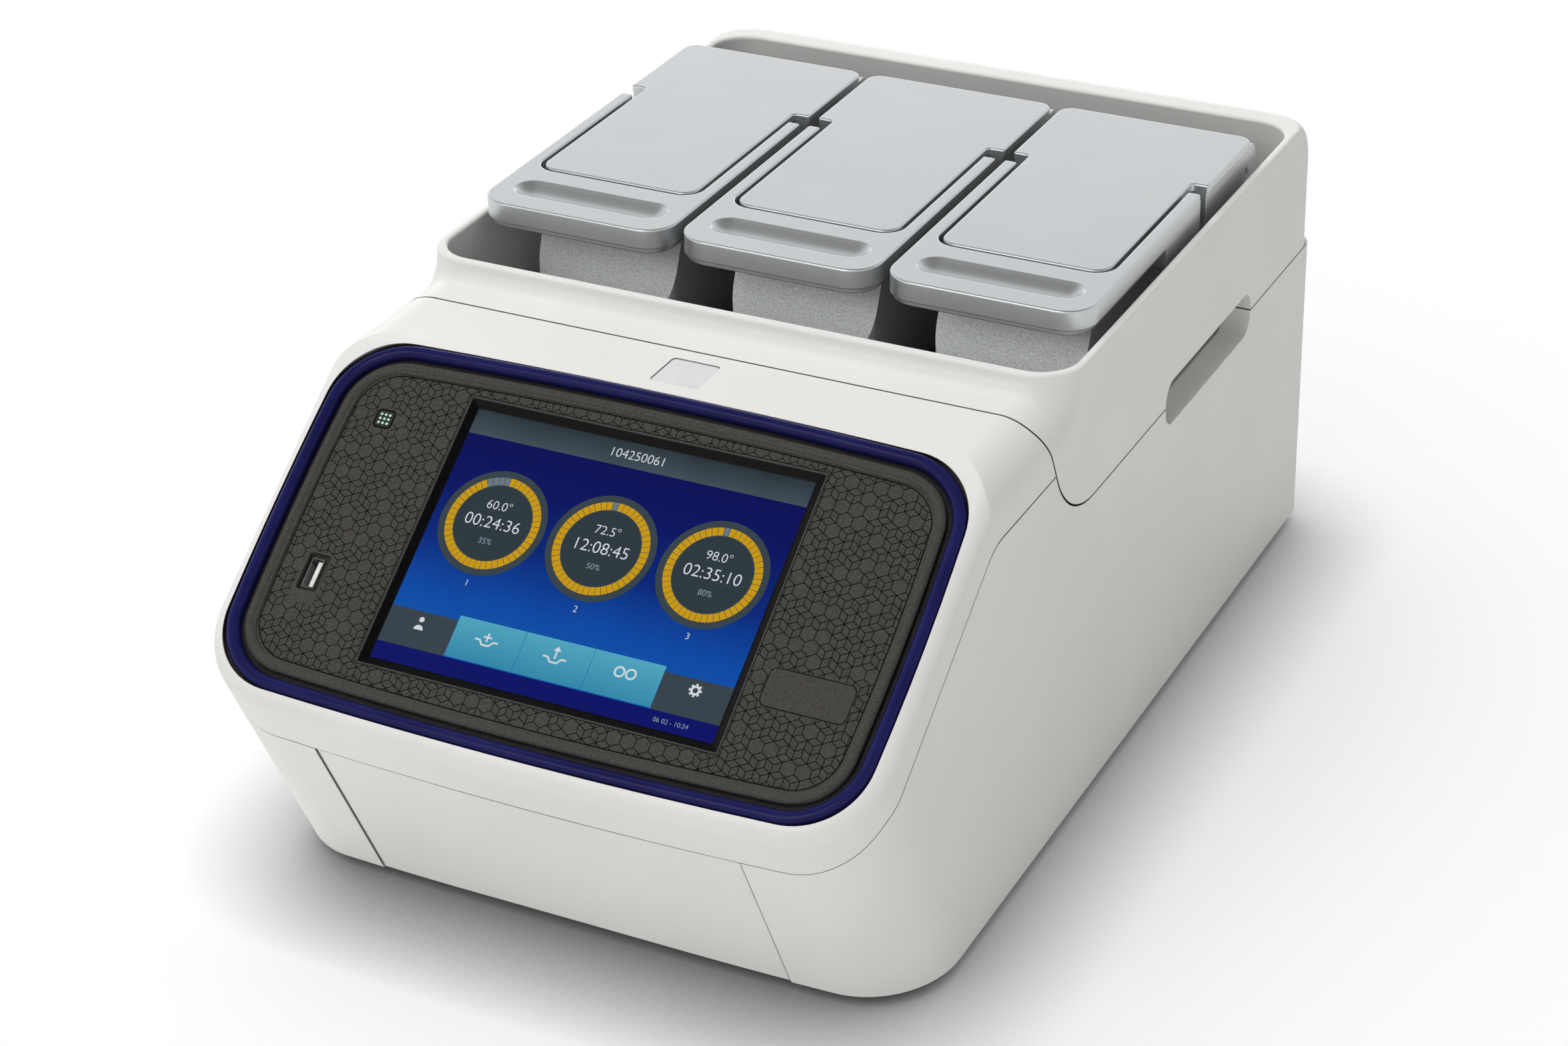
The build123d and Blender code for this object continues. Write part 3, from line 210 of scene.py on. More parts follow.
build = bmesh.new()
sections, sides = [], 8
for i, (spot, out) in enumerate(seam_path):
    run = seam_path[min(i + 1, len(seam_path) - 1)][0] - seam_path[max(i - 1, 0)][0]
    side = run.cross(out).normalized()
    turns = [k * 2 * math.pi / sides for k in range(sides)]
    sections.append([build.verts.new(spot + (out * math.cos(a) + side * math.sin(a)) * shade_line_radius * mm)
                     for a in turns])
for near, far in zip(sections, sections[1:]):
    for k in range(sides):
        build.faces.new((near[k], near[(k + 1) % sides], far[(k + 1) % sides], far[k]))
build.faces.new(sections[0][::-1])
build.faces.new(sections[-1])
bmesh.ops.recalc_face_normals(build, faces=build.faces)
# Painted shade: this grey cord darkens the seam where its shadow falls.
seam_shade_line = placed("lower_panel_seam_shade_line", build, seam_shade_grey)
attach(seam_shade_line, "base")


# Feet under the floor, moulded in black rubber, and the filter over the floor's intake slots,
# a sheet of open polyurethane foam.
rubber, tree, shader = new_material("moulded_black_rubber", "#1b1b1c", 0.8)
place = mottle(tree, shader, "#18181a", "#202022", 4 * mm)
grain_bump(tree, shader, place, 0.7 * mm, 0.06 * mm, 0.5)
dress(rubber, "rubber_feet")

foam, tree, shader = new_material("open_cell_foam", "#222325", 0.95)
place = mottle(tree, shader, "#0c0c0d", "#303134", 1.4 * mm)
grain_bump(tree, shader, place, 1.4 * mm, 0.6 * mm, 1.0)
dress(foam, "intake_filter")


# Badge plate: a bare square of clear acrylic over white, glued into its shallow recess on the
# bezel. It is polished, so it is glossier than the plastic round it.
acrylic, tree, shader = new_material("clear_coated_acrylic", "#d6d7d8", 0.08)
mottle(tree, shader, "#d3d4d5", "#dadbdc", 8 * mm)
shader.inputs["Coat Weight"].default_value = 0.6
shader.inputs["Coat Roughness"].default_value = 0.04
dress(acrylic, "badge_plate")


# Trim ring round the control panel: a half-round bead of navy ABS with a satin, slightly waxy
# surface, clipped into the gap between bezel and panel, and a black rubber strip inside it that is painted
# shade, darkening the gap as its shadow would.
navy, tree, shader = new_material("moulded_ABS_navy_satin", "#1b1b52", 0.24, gloss=0.1)
place = mottle(tree, shader, "#19194d", "#1e1f56", 30 * mm)
grain_bump(tree, shader, place, 0.5 * mm, 0.02 * mm, 0.4)

panel_tilt = math.radians(35.8)
panel_centre = Vector((0, -188.0, 164.1)) * mm
panel_up = Vector((0, math.cos(panel_tilt), math.sin(panel_tilt)))
panel_out = Vector((0, -math.sin(panel_tilt), math.cos(panel_tilt)))


def panel_point(u, v, w):
    """A place on the control panel: across, up the slope and out from the screen, in millimetres."""
    return panel_centre + Vector((u * mm, 0, 0)) + panel_up * (v * mm) + panel_out * (w * mm)


ring_half, ring_high, ring_low = 145.0, 80.4, -85.0
ring_bow, ring_side_bow, ring_corner = 3.5, 2.5, 31.0


def ring_outline(inset, corner_steps=12, side_steps=12):
    """The bowed outline of the trim ring, moved in by a distance, as evenly indexed points."""
    half, high, low, radius = ring_half - inset, ring_high - inset, ring_low + inset, ring_corner - inset
    plain = []
    for k, (su, edge_v) in enumerate(((1, high), (-1, high), (-1, low), (1, low))):
        sv = 1 if edge_v > 0 else -1
        for i in range(corner_steps + 1):
            angle = (k + i / corner_steps) * math.pi / 2
            plain.append((su * (half - radius) + radius * math.cos(angle),
                          edge_v - sv * radius + radius * math.sin(angle)))
        here = plain[-1]
        ahead = ((-(half - radius), high), (-half, low + radius), (half - radius, low),
                 (half, high - radius))[k]
        du, dv = ahead[0] - here[0], ahead[1] - here[1]
        plain += [(here[0] + du * j / side_steps, here[1] + dv * j / side_steps)
                  for j in range(1, side_steps)]
    bent = []
    for u, v in plain:
        reach = high if v > 0 else -low
        bent.append((u - ring_side_bow * (v / reach) ** 2 * u / half,
                     v - ring_bow * (u / half) ** 2 * v / reach))
    return bent


def bead(name, profile, material, outline=ring_outline, smooth=True):
    """A closed profile of (inset, level) points swept round the panel along an outline."""
    build = bmesh.new()
    loops = [[build.verts.new(panel_point(u, v, level)) for u, v in outline(inset)]
             for inset, level in profile]
    for near, far in zip(loops, loops[1:] + loops[:1]):
        for i in range(len(near)):
            j = (i + 1) % len(near)
            build.faces.new((near[i], near[j], far[j], far[i]))
    for face in build.faces:
        face.smooth = smooth
    bmesh.ops.recalc_face_normals(build, faces=build.faces)
    piece = placed(name, build, material)
    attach(piece, "base")
    return piece


def half_round(start, end, foot, crest, floor, steps=14):
    """The profile of a half-round bead between two insets, on straight feet that stand on a floor."""
    middle, half = (start + end) / 2, (end - start) / 2
    angles = [i * math.pi / steps for i in range(steps + 1)]
    arch = [(middle - half * math.cos(a), foot + (crest - foot) * math.sin(a)) for a in angles]
    return arch + [(end, floor), (start, floor)]


ring_floor, ring_foot, ring_crest = 0.02, 1.2, 4.55
navy_bead = bead("trim_ring_bead", half_round(0.05, 6.0, ring_foot, ring_crest, ring_floor),
                 navy)
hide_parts("trim_ring")
# Painted shade: a black strip on the gap's floor between the bead and the panel's rim.
ring_gap_shade = bead("trim_ring_gap_shade_strip", [(5.9, ring_floor), (5.9, 0.5), (8.7, 0.5), (8.7, ring_floor)],
                 rubber)
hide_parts("trim_ring")


# Control panel: charcoal polycarbonate with a fine matt grain that sparkles faintly, seen as
# light and dark specks about half a millimetre wide.
charcoal, tree, shader = new_material("grained_charcoal_polycarbonate", "#42403d", 0.5, gloss=0.15)
place = mottle(tree, shader, "#3a3835", "#4c4a45", 0.7 * mm)
bump = grain_bump(tree, shader, place, 0.6 * mm, 0.05 * mm, 0.6)
eased = add(tree, "Bevel", samples=6, Radius=0.5 * mm)
tree.links.new(eased.outputs["Normal"], bump.inputs["Normal"])
dress(charcoal, "control_panel", "name_plate")
bead("panel_rim_bead", half_round(8.3, 12.4, 2.2, 3.6, 1.9), charcoal)


def sheet_piece(name, outlines, level, thickness, material):
    """Thin closed plates on the control panel's plane, one for each outline."""
    build = bmesh.new()
    for outline in outlines:
        top = [build.verts.new(panel_point(u, v, level)) for u, v in outline]
        low = [build.verts.new(panel_point(u, v, level - thickness)) for u, v in outline]
        build.faces.new(top)
        build.faces.new(low[::-1])
        for i in range(len(outline)):
            j = (i + 1) % len(outline)
            build.faces.new((top[j], top[i], low[i], low[j]))
    bmesh.ops.recalc_face_normals(build, faces=build.faces)
    piece = placed(name, build, material)
    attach(piece, "base")


# Screen frame: a black insert that covers the window's sloping sides and hides the display's
# edge. Moulded ABS with a satin surface, snapped in from the front.
frame_black, tree, shader = new_material("moulded_black_ABS", "#070708", 0.4, gloss=0.08)
place = mottle(tree, shader, "#060607", "#09090a", 3 * mm)
grain_bump(tree, shader, place, 0.5 * mm, 0.02 * mm, 0.3)
screen_half_u, screen_half_v = 76.65, 57.5


def window_outline(inset):
    """The screen's rectangle, grown by a negative inset."""
    half_u, half_v = screen_half_u - inset, screen_half_v - inset
    return [(half_u, half_v), (-half_u, half_v), (-half_u, -half_v), (half_u, -half_v)]


bead("screen_frame", [(0.15, -0.12), (-0.5, 0.05), (-3.3, 1.66), (-3.3, 1.5), (-0.5, -0.12)],
     frame_black, outline=window_outline, smooth=False)


# Line pattern on the control panel: a honeycomb printed in matt black ink, with some cells
# drawn as small cubes. The lines are 0.34 mm wide on cells 6.3 mm across.
ink, tree, shader = new_material("printed_matt_black_ink", "#0b0a09", 0.6, gloss=0.05)
mottle(tree, shader, "#090807", "#0f0e0c", 1.5 * mm)

cell = 6.3
edge = cell / math.sqrt(3)
line_width = 0.34
field_inset = 13.9
window_half_u, window_half_v = 81.2, 62.0
light_u, light_v = -114.5, 43.0
plate_u, plate_v = 107.0, -30.0
bare_spots = [(light_u, light_v, 4.9, 4.9), (-115.6, -31.7, 6.0, 11.6), (plate_u, plate_v, 18.6, 8.6)]


def inside_pattern(u, v):
    """Whether a point lies in the pattern's field: off the screen, the bare spots and the rim."""
    if abs(u) < window_half_u and abs(v) < window_half_v:
        return False
    for spot_u, spot_v, half_u, half_v in bare_spots:
        if abs(u - spot_u) < half_u and abs(v - spot_v) < half_v:
            return False
    half, radius = ring_half - field_inset, ring_corner - field_inset
    reach = ring_high - field_inset if v > 0 else -ring_low - field_inset
    du = abs(u) + ring_side_bow * (v / reach) ** 2 - (half - radius)
    dv = abs(v) + ring_bow * (u / half) ** 2 - (reach - radius)
    if du <= 0 or dv <= 0:
        return du <= radius and dv <= radius
    return math.hypot(du, dv) <= radius


def clipped(a, b):
    """The parts of a line that lie inside the pattern's field."""
    steps = 24
    spans, start = [], None
    for i in range(steps + 1):
        t = i / steps
        here = inside_pattern(a[0] + (b[0] - a[0]) * t, a[1] + (b[1] - a[1]) * t)
        if here and start is None:
            start = t
        if not here and start is not None:
            spans.append((start, (i - 1) / steps))
            start = None
    if start is not None:
        spans.append((start, 1.0))
    return [((a[0] + (b[0] - a[0]) * s, a[1] + (b[1] - a[1]) * s),
             (a[0] + (b[0] - a[0]) * e, a[1] + (b[1] - a[1]) * e)) for s, e in spans if e > s]


def stroke(a, b, width):
    """A line as a four-cornered outline."""
    du, dv = b[0] - a[0], b[1] - a[1]
    length = math.hypot(du, dv)
    nu, nv = -dv / length * width / 2, du / length * width / 2
    return [(a[0] + nu, a[1] + nv), (a[0] - nu, a[1] - nv), (b[0] - nu, b[1] - nv), (b[0] + nu, b[1] + nv)]


pick = random.Random(7)
strokes = []
for row in range(-15, 16):
    for column in range(-23, 24):
        u = (column + 0.5 * (row % 2)) * cell
        v = row * edge * 1.5
        corners = [(u + edge * math.sin(k * math.pi / 3), v + edge * math.cos(k * math.pi / 3))
                   for k in range(6)]
        lines = [(corners[0], corners[1]), (corners[1], corners[2]), (corners[2], corners[3])]
        kind = pick.random()
        if kind < 0.62:
            turn = 1 if kind < 0.42 else 0
            lines += [((u, v), corners[k]) for k in (turn, turn + 2, turn + 4)]
        for a, b in lines:
            strokes += [stroke(p, q, line_width) for p, q in clipped(a, b)]

pattern_level = 1.83
build = bmesh.new()
for outline in strokes:
    build.faces.new([build.verts.new(panel_point(u, v, pattern_level)) for u, v in outline])
ink_lines = placed("panel_line_pattern", build, ink)
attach(ink_lines, "base")


# Printed outlines round the field, the screen window, the status light and the bare name
# plate. Matt black ink, screen printed with the pattern.
def rounded(u, v, half_u, half_v, radius, steps=8):
    """A rounded rectangle's corner points, anticlockwise."""
    points = []
    for k, (su, sv) in enumerate(((1, 1), (-1, 1), (-1, -1), (1, -1))):
        for i in range(steps + 1):
            angle = (k + i / steps) * math.pi / 2
            points.append((u + su * (half_u - radius) + radius * math.cos(angle),
                           v + sv * (half_v - radius) + radius * math.sin(angle)))
    return points


def closed_band(outline, width):
    """Strokes that follow a closed outline, drawn inwards from it as joined quads."""
    count = len(outline)
    inner = []
    for i in range(count):
        before, after = outline[i - 1], outline[(i + 1) % count]
        du, dv = after[0] - before[0], after[1] - before[1]
        length = math.hypot(du, dv)
        inner.append((outline[i][0] - dv / length * width, outline[i][1] + du / length * width))
    return [[outline[i], outline[(i + 1) % count], inner[(i + 1) % count], inner[i]] for i in range(count)]


bands = closed_band(rounded(light_u, light_v, 4.4, 4.4, 2.2), 0.45)
bands += closed_band(ring_outline(13.75), 0.45)
bands += closed_band(rounded(0.0, 0.0, 81.3, 62.1, 1.2), 0.3)
bands += closed_band(rounded(plate_u, plate_v, 18.4, 8.4, 3.2), 0.35)
sheet_piece("printed_outlines", bands, 1.86, 0.03, ink)


# Status light: a smoked polycarbonate lens, snapped into the panel, with nine light pipes
# that end flush in it and shine a pale green.
smoke, tree, shader = new_material("smoked_polycarbonate_lens", "#2c2e2b", 0.3, gloss=0.3)
mottle(tree, shader, "#292b28", "#31332f", 2 * mm)
dress(smoke, "status_light")

lit_dot, tree, shader = new_material("lit_green_light_pipe", "#9fc3ac", 0.35)
mottle(tree, shader, "#93b8a0", "#b3d3bd", 0.6 * mm)
shader.inputs["Emission Color"].default_value = linear("#8fb9a0")
shader.inputs["Emission Strength"].default_value = 0.35


def disc(u, v, radius, steps=20):
    """A round outline."""
    return [(u + radius * math.cos(i * 2 * math.pi / steps), v + radius * math.sin(i * 2 * math.pi / steps))
            for i in range(steps)]


dot_pitch = 1.95
dots = [disc(light_u + dot_pitch * i, light_v + dot_pitch * j, 0.6) for i in (-1, 0, 1) for j in (-1, 0, 1)]
sheet_piece("status_light_dots", dots, 1.95, 0.12, lit_dot)


# USB port: a shell folded from nickel-plated steel, which shines along its edges, round a
# white nylon tongue. The lids' hinge pins and cam shafts have the same bright plating.
nickel, tree, shader = new_material("nickel_plated_steel", "#c4c5c4", 0.22, 1.0)
mottle(tree, shader, "#b9bab9", "#cfd0cf", 3 * mm)
dress(nickel, "usb_shell", "lid_hinge_pins", "cam_shaft_1", "cam_shaft_2", "cam_shaft_3")

tongue_white, tree, shader = new_material("moulded_white_nylon", "#e9e9e6", 0.4)
mottle(tree, shader, "#e3e3e0", "#eeeeeb", 2 * mm)
dress(tongue_white, "usb_tongue")


# Display: a lit panel behind the touch glass. Its picture is plain: a title bar with a
# number, three round gauges with figures, and a row of tiles with simple signs.
glow_through_glass = 0.92


def lit(name, colour, stops=None):
    """A lit colour behind glass. Its stops, from 0 at the screen's foot to 1, make it fade upwards."""
    made, tree, shader = new_material(name, "#020203", 0.12, gloss=0.2)
    shader.inputs["Emission Strength"].default_value = glow_through_glass
    place = add(tree, "TexCoord")
    noise = add(tree, "TexNoise", [("Vector", place.outputs["Object"])], Scale=1 / (25 * mm), Detail=1.0)
    parts = add(tree, "SeparateXYZ", [("Vector", place.outputs["Object"])])
    foot, head = panel_point(0, -screen_half_v, 0).z, panel_point(0, screen_half_v, 0).z
    span = add(tree, "MapRange", [("Value", parts.outputs["Z"])], From_Min=foot, From_Max=head)
    sway = add(tree, "Math", [(0, noise.outputs["Fac"])], operation="MULTIPLY_ADD")
    sway.inputs[1].default_value = 0.06
    sway.inputs[2].default_value = -0.03
    total = add(tree, "Math", [(0, span.outputs["Result"]), (1, sway.outputs["Value"])], operation="ADD")
    ramp = add(tree, "ValToRGB", [("Fac", total.outputs["Value"])])
    stops = stops or [(0.0, colour), (1.0, colour)]
    ramp.color_ramp.elements[0].position = stops[0][0]
    ramp.color_ramp.elements[0].color = linear(stops[0][1])
    ramp.color_ramp.elements[1].position = stops[-1][0]
    ramp.color_ramp.elements[1].color = linear(stops[-1][1])
    for position, code in stops[1:-1]:
        ramp.color_ramp.elements.new(position).color = linear(code)
    tree.links.new(ramp.outputs["Color"], shader.inputs["Emission Color"])
    return made


dress(gloss_black, "lcd_module")
screen_blue = lit("lit_display_blue", "#0a2a80", [
    (0.0, "#0c0d5e"), (0.07, "#0d5cb4"), (0.3, "#0a4aa6"),
    (0.5, "#06287c"), (0.72, "#081463"), (1.0, "#0c0a52")])
screen_slate = lit("lit_display_slate", "#39454d")
screen_title = lit("lit_display_title_bar", "#3e4b53", [(0.88, "#46555e"), (1.0, "#2c363d")])
screen_strip = lit("lit_display_strip", "#0b1268")
screen_teal = lit("lit_display_teal", "#3f9cc4", [(0.05, "#2f87ac"), (0.24, "#55abc4")])
screen_amber = lit("lit_display_amber", "#cd9d12")
screen_grey = lit("lit_display_pale_grey", "#6d7a85")
screen_disc = lit("lit_display_disc", "#2f3b42")
screen_text = lit("lit_display_text", "#d5dde0")
screen_dim_text = lit("lit_display_dim_text", "#93a2ad")


def bar(left, right, low, high):
    """A straight-edged outline."""
    return [(left, low), (right, low), (right, high), (left, high)]


# The picture's layers, in millimetres from the screen's plane, and the heights of its bars.
backdrop_level, bar_level, plate_level, tile_level = -0.16, -0.13, -0.12, -0.10
segment_level, sign_level, layer = -0.09, -0.06, 0.02
title_foot, strip_head, outer_tile_head, middle_tile_head = 46.3, -49.7, -33.6, -31.4
tile_edges = [-screen_half_u, -46.0, -15.4, 15.5, 46.5, screen_half_u]

sheet_piece("display_background", [bar(-screen_half_u, screen_half_u, -screen_half_v, screen_half_v)],
            backdrop_level, 0.03, screen_blue)
sheet_piece("display_title_bar", [bar(-screen_half_u, screen_half_u, title_foot, screen_half_v)],
            bar_level, layer, screen_title)
sheet_piece("display_lower_strip", [bar(-screen_half_u, screen_half_u, -screen_half_v, strip_head)],
            bar_level, layer, screen_strip)
sheet_piece("display_outer_tiles",
            [bar(tile_edges[i], tile_edges[i + 1], strip_head, outer_tile_head) for i in (0, 4)],
            plate_level, layer, screen_slate)
sheet_piece("display_middle_tiles",
            [bar(tile_edges[i] + 0.1, tile_edges[i + 1] - 0.1, strip_head + 0.4, middle_tile_head)
             for i in (1, 2, 3)], tile_level, layer, screen_teal)


def arc_band(u, v, inner, outer, start, end, steps):
    """A piece of a ring between two angles, measured clockwise from the top in degrees."""
    points = []
    for radius, order in ((outer, range(steps + 1)), (inner, range(steps, -1, -1))):
        for i in order:
            angle = math.radians(start + (end - start) * i / steps)
            points.append((u + radius * math.sin(angle), v + radius * math.cos(angle)))
    return points


gauge_centres = [(-49.4, 9.9), (0.1, 9.9), (49.8, 9.9)]
plates, amber, grey, discs = [], [], [], []
for (gu, gv), (pale_from, pale_to) in zip(gauge_centres, ((44, 48), (47, 48), (47, 48))):
    plates += [arc_band(gu, gv, 0.05, 23.5, k * 30, (k + 1) * 30, 6) for k in range(12)]
    discs += [arc_band(gu, gv, 0.05, 16.6, k * 30, (k + 1) * 30, 6) for k in range(12)]
    for k in range(48):
        band = arc_band(gu, gv, 17.1, 20.6, k * 7.5 + 0.35, (k + 1) * 7.5 - 0.35, 3)
        (grey if pale_from <= k < pale_to else amber).append(band)
sheet_piece("gauge_rims", plates, plate_level, layer, screen_slate)
sheet_piece("gauge_segments", amber, segment_level, layer, screen_amber)
sheet_piece("gauge_segments_pale", grey, segment_level, layer, screen_grey)
sheet_piece("gauge_discs", discs, tile_level, layer, screen_disc)


def figures(name, text, u, v, height, material):
    """Figures on the screen, centred on a point, as flat outlines of a given height in millimetres."""
    curve = bpy.data.curves.new(name, "FONT")
    curve.body = text
    curve.align_x = "CENTER"
    curve.align_y = "CENTER"
    curve.size = height * mm / 0.7
    curve.offset = -0.012 * height * mm
    piece = bpy.data.objects.new(name, curve)
    bpy.context.scene.collection.objects.link(piece)
    axes = Matrix((Vector((1, 0, 0)), panel_up, panel_out)).transposed().to_4x4()
    piece.matrix_world = Matrix.Translation(panel_point(u, v, sign_level)) @ axes
    curve.materials.append(material)
    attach(piece, "base")


figures("title_figures", "104250061", -0.4, 51.6, 4.0, screen_text)
readings = [("60.0°", "00:24:36", "35%"), ("72.5°", "12:08:45", "50%"), ("98.0°", "02:35:10", "80%")]
for n, ((gu, gv), (warmth, clock, share)) in enumerate(zip(gauge_centres, readings), start=1):
    figures(f"gauge_{n}_temperature", warmth, gu, gv + 7.6, 3.9, screen_text)
    figures(f"gauge_{n}_time", clock, gu, gv - 0.2, 5.2, screen_text)
    figures(f"gauge_{n}_share", share, gu, gv - 8.4, 2.6, screen_dim_text)
    figures(f"gauge_{n}_number", str(n), gu, gv - 27.4, 2.8, screen_text)
figures("clock_figures", "06 02 - 10:24", 57.0, -53.5, 2.0, screen_dim_text)

signs = []
centre = (tile_edges[0] + tile_edges[1]) / 2
signs += [disc(centre, -37.1, 1.15)]
signs += [arc_band(centre, -41.6, 0.05, 2.1, -90 + k * 30, -60 + k * 30, 4) for k in range(6)]
for k in (1, 2):
    centre = (tile_edges[k] + tile_edges[k + 1]) / 2
    run = [(-5.2, -39.3), (-3.0, -39.3), (-1.6, -41.2), (1.6, -41.2), (3.0, -39.3), (5.2, -39.3)]
    signs += [stroke((centre + a[0], a[1]), (centre + b[0], b[1]), 0.75) for a, b in zip(run, run[1:])]
    signs += [stroke((centre, -39.6), (centre, -35.9), 0.75)]
    if k == 1:
        signs += [stroke((centre + a, -37.7), (centre + b, -37.7), 0.75)
                  for a, b in ((-1.8, -0.38), (0.38, 1.8))]
    else:
        signs += [[(centre - 1.7, -36.2), (centre + 1.7, -36.2), (centre, -34.2)]]
centre = (tile_edges[3] + tile_edges[4]) / 2
for side in (-1, 1):
    signs += [arc_band(centre + side * 2.5, -38.2, 1.6, 2.4, k * 30, (k + 1) * 30, 4) for k in range(12)]
centre = (tile_edges[4] + tile_edges[5]) / 2
signs += [arc_band(centre, -38.2, 1.1, 2.1, k * 30, (k + 1) * 30, 4) for k in range(12)]
signs += [arc_band(centre, -38.2, 2.05, 2.8, k * 45 - 11, k * 45 + 11, 3) for k in range(8)]
sheet_piece("tile_signs", signs, sign_level, layer, screen_text)


# Touch glass over the display: clear, with a hard coat. Only its edge behind the window's
# rim is ever seen.
clear, tree, shader = new_material("clear_hard_coated_glass", "#f2f6f8", 0.03)
place = add(tree, "TexCoord")
noise = add(tree, "TexNoise", [("Vector", place.outputs["Object"])], Scale=1 / (30 * mm))
haze = add(tree, "MapRange", [("Value", noise.outputs["Fac"])], To_Min=0.02, To_Max=0.06)
tree.links.new(haze.outputs["Result"], shader.inputs["Roughness"])
shader.inputs["Transmission Weight"].default_value = 1.0
shader.inputs["IOR"].default_value = 1.5
dress(clear, "screen_glass")


# Block module's deck: an aluminium sheet between the shroud and the three blocks, folded and
# coated matt black.
deck_coat, tree, shader = new_material("black_coated_aluminium", "#161615", 0.5)
place = mottle(tree, shader, "#131312", "#1b1b1a", 8 * mm)
grain_bump(tree, shader, place, 0.8 * mm, 0.05 * mm, 0.4)
dress(deck_coat, "module_deck")


# Blocks: bead-blasted aluminium with conical wells, on white ceramic thermoelectric elements
# and extruded heat sinks. The lids' heated plates have the blocks' finish.
blasted, tree, shader = new_material("bead_blasted_aluminium", "#c3c6c8", 0.38, 1.0)
place = mottle(tree, shader, "#b8bbbd", "#cdd0d2", 1.2 * mm)
grain_bump(tree, shader, place, 0.3 * mm, 0.03 * mm, 0.6)
dress(blasted, *[f"sample_block_{n}" for n in (1, 2, 3)], *[f"heated_plate_{n}" for n in (1, 2, 3)])

extruded, tree, shader = new_material("extruded_aluminium", "#aeb1b3", 0.34, 1.0)
place = mottle(tree, shader, "#a3a6a8", "#b9bcbe", 10 * mm)
grain_bump(tree, shader, place, 0.6 * mm, 0.02 * mm, 0.3)
dress(extruded, *[f"heat_sink_{n}" for n in (1, 2, 3)])

ceramic, tree, shader = new_material("white_alumina_ceramic", "#e6e5e0", 0.5)
place = mottle(tree, shader, "#e1e0db", "#ebeae6", 3 * mm)
grain_bump(tree, shader, place, 0.5 * mm, 0.02 * mm, 0.3)
dress(ceramic, "peltier_modules")


# Block housings: aluminium castings in a sand-textured silver paint, which scatters into
# bright and dark specks.
sanded, tree, shader = new_material("sand_textured_silver_paint", "#cccecf", 0.45, 0.4)
place = mottle(tree, shader, "#bec0c1", "#dadcdd", 0.8 * mm)
grain_bump(tree, shader, place, 0.9 * mm, 0.12 * mm, 0.7)
dress(sanded, *[f"block_housing_{n}" for n in (1, 2, 3)])


# Lids and levers: die-cast aluminium under a satin silver paint. The flake is too fine to show,
# so it is drawn 0.35 mm coarse, as an even sheen with bright lines where the edges are eased.
# The frames inside the lids are castings with a dark coat.
lid_paint, tree, shader = new_material("satin_silver_paint", "#ced1d3", 0.3, 0.8)
place = mottle(tree, shader, "#cdd0d2", "#cfd2d4", 40 * mm, detail=1.0)
flake = add(tree, "TexNoise", [("Vector", place.outputs["Object"])], Scale=1 / (0.35 * mm), Detail=1.0)
eased = add(tree, "Bevel", samples=6, Radius=0.7 * mm)
bump = add(tree, "Bump", [("Height", flake.outputs["Fac"]), ("Normal", eased.outputs["Normal"])],
           Distance=0.01 * mm, Strength=0.25)
tree.links.new(bump.outputs["Normal"], shader.inputs["Normal"])
dress(lid_paint, *[f"lid_cover_{n}" for n in (1, 2, 3)], *[f"lever_{n}" for n in (1, 2, 3)])

cast, tree, shader = new_material("dark_coated_casting", "#3a3b3c", 0.55)
place = mottle(tree, shader, "#343536", "#414243", 3 * mm)
grain_bump(tree, shader, place, 0.9 * mm, 0.08 * mm, 0.5)
dress(cast, *[f"lid_frame_{n}" for n in (1, 2, 3)])


# Studio: a white table that takes the shadow, with a painted contact shadow darkened in round the
# object's foot, and fades into a white surround, under a large softbox, with a softbox in front on the
# left, a low strip behind and a weak fill at the side.
build = bmesh.new()
bmesh.ops.create_circle(build, cap_ends=True, segments=64, radius=6.0)
table_finish, tree, shader = new_material("white_studio_table", "#fafaf9", 0.6, gloss=0.2)
place = mottle(tree, shader, "#f9f9f8", "#fbfbfa", 300 * mm, detail=1.0)
table = placed("table_top", build, table_finish)
path = add(tree, "LightPath")
glow = add(tree, "Emission", Color=(1, 1, 1, 1), Strength=1.0)
reach = add(tree, "VectorMath", [(0, place.outputs["Object"])], operation="LENGTH")
fade = add(tree, "MapRange", [("Value", reach.outputs["Value"])], interpolation_type="SMOOTHSTEP",
           From_Min=0.22, From_Max=0.6, To_Min=0.5, To_Max=1.0)
seen = add(tree, "Math", [(0, path.outputs["Is Camera Ray"]), (1, fade.outputs["Result"])],
           operation="MULTIPLY")
open_floor = add(tree, "MixShader", [("Fac", seen.outputs["Value"]), (1, shader.outputs["BSDF"]),
                                     (2, glow.outputs["Emission"])])
# Painted shadow: seen by the camera only, the table is mixed towards black where ambient occlusion finds
# the object close.
contact = add(tree, "AmbientOcclusion", samples=8, Distance=0.06)
closed = add(tree, "Math", [(0, contact.outputs["AO"])], operation="POWER")
closed.inputs[1].default_value = 1.2
shade = add(tree, "Math", [(1, closed.outputs["Value"])], operation="SUBTRACT")
shade.inputs[0].default_value = 1.0
seen_shade = add(tree, "Math", [(0, path.outputs["Is Camera Ray"]), (1, shade.outputs["Value"])],
                 operation="MULTIPLY")
dark = add(tree, "Emission", Strength=0.0)
shaded_floor = add(tree, "MixShader", [("Fac", seen_shade.outputs["Value"]),
                                       (1, open_floor.outputs["Shader"]),
                                       (2, dark.outputs["Emission"])])
tree.links.new(shaded_floor.outputs["Shader"], tree.nodes["Material Output"].inputs["Surface"])

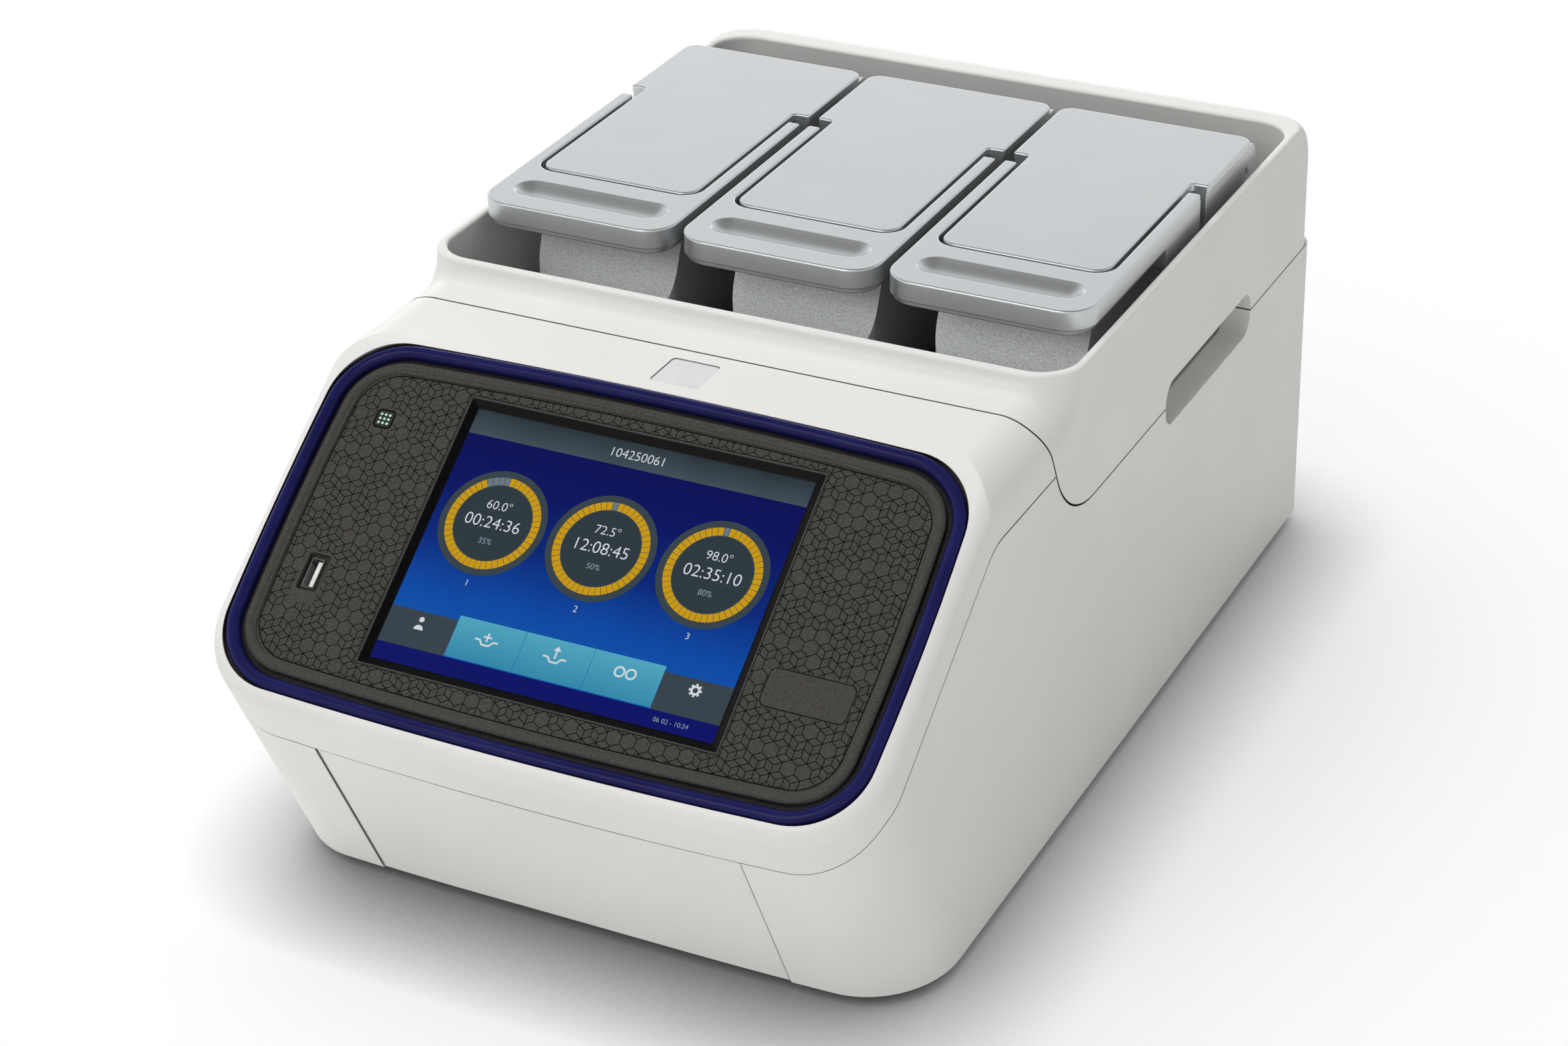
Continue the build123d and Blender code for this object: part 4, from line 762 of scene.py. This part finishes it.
world = bpy.data.worlds.new("white_surround")
bpy.context.scene.world = world
world.use_nodes = True
tree = world.node_tree
background = tree.nodes["Background"]
background.inputs["Color"].default_value = (1, 1, 1, 1)
path = add(tree, "LightPath")
clear_ray = add(tree, "Math", [(0, path.outputs["Is Camera Ray"]),
                               (1, path.outputs["Is Transmission Ray"])], operation="MAXIMUM")
heading = add(tree, "TexCoord")
parts = add(tree, "SeparateXYZ", [("Vector", heading.outputs["Generated"])])
mirrored = add(tree, "MapRange", [("Value", parts.outputs["Z"])], interpolation_type="SMOOTHSTEP",
               From_Min=0.3, From_Max=0.95, To_Min=1.0, To_Max=0.1)
ambient = 0.3
unlit = add(tree, "MapRange", [("Value", path.outputs["Is Glossy Ray"]),
                               ("To Max", mirrored.outputs["Result"])], To_Min=ambient)
level = add(tree, "MapRange", [("Value", clear_ray.outputs["Value"]), ("To Min", unlit.outputs["Result"])],
            To_Max=1.0)
tree.links.new(level.outputs["Result"], background.inputs["Strength"])


def softbox(name, heading, distance, width, height, level, mirrored=True):
    """A softbox that lights what faces it at a given level, where 1 shows a colour as written."""
    aim = Vector((0, 0, 0.12))
    place = aim + Vector(heading).normalized() * distance
    lamp = bpy.data.lights.new(name, "AREA")
    lamp.shape = "RECTANGLE"
    lamp.size, lamp.size_y = width, height
    lamp.energy = level * (math.pi * distance) ** 2
    made = bpy.data.objects.new(name, lamp)
    bpy.context.scene.collection.objects.link(made)
    made.location = place
    made.rotation_euler = (aim - place).to_track_quat("-Z", "Y").to_euler()
    made.visible_glossy = mirrored
    made.visible_camera = False


softbox("overhead_softbox", (-0.32, 0.2, 0.92), 2.6, 2.6, 2.2, 0.72, mirrored=False)
softbox("front_fill", (-0.15, -0.77, 0.62), 3.0, 2.0, 1.4, 0.31)
softbox("rear_softbox", (-0.4, 0.9, 0.14), 2.4, 2.6, 0.4, 0.1)
softbox("side_fill", (0.85, -0.5, 0.2), 1.2, 1.0, 0.8, 0.1, mirrored=False)


# Camera: the place, direction and focal length that the photograph was taken with, solved from
# its vanishing lines.
lens = bpy.data.cameras.new("photo_camera")
lens.sensor_width = 36.0
lens.lens = 80.344
lens.clip_start = 0.05
lens.clip_end = 50.0
camera = bpy.data.objects.new("photo_camera", lens)
bpy.context.scene.collection.objects.link(camera)
right = Vector((0.89796426, 0.43985322, -0.01375957))
down = Vector((0.20306957, -0.44190197, -0.87377651))
forward = Vector((-0.3904138, 0.78182593, -0.48613298))
turn = Matrix((right, -down, -forward)).transposed().to_4x4()
camera.matrix_world = Matrix.Translation(Vector((0.60387, -1.22640, 0.85091))) @ turn
bpy.context.scene.camera = camera
bpy.context.scene.view_settings.view_transform = "Standard"
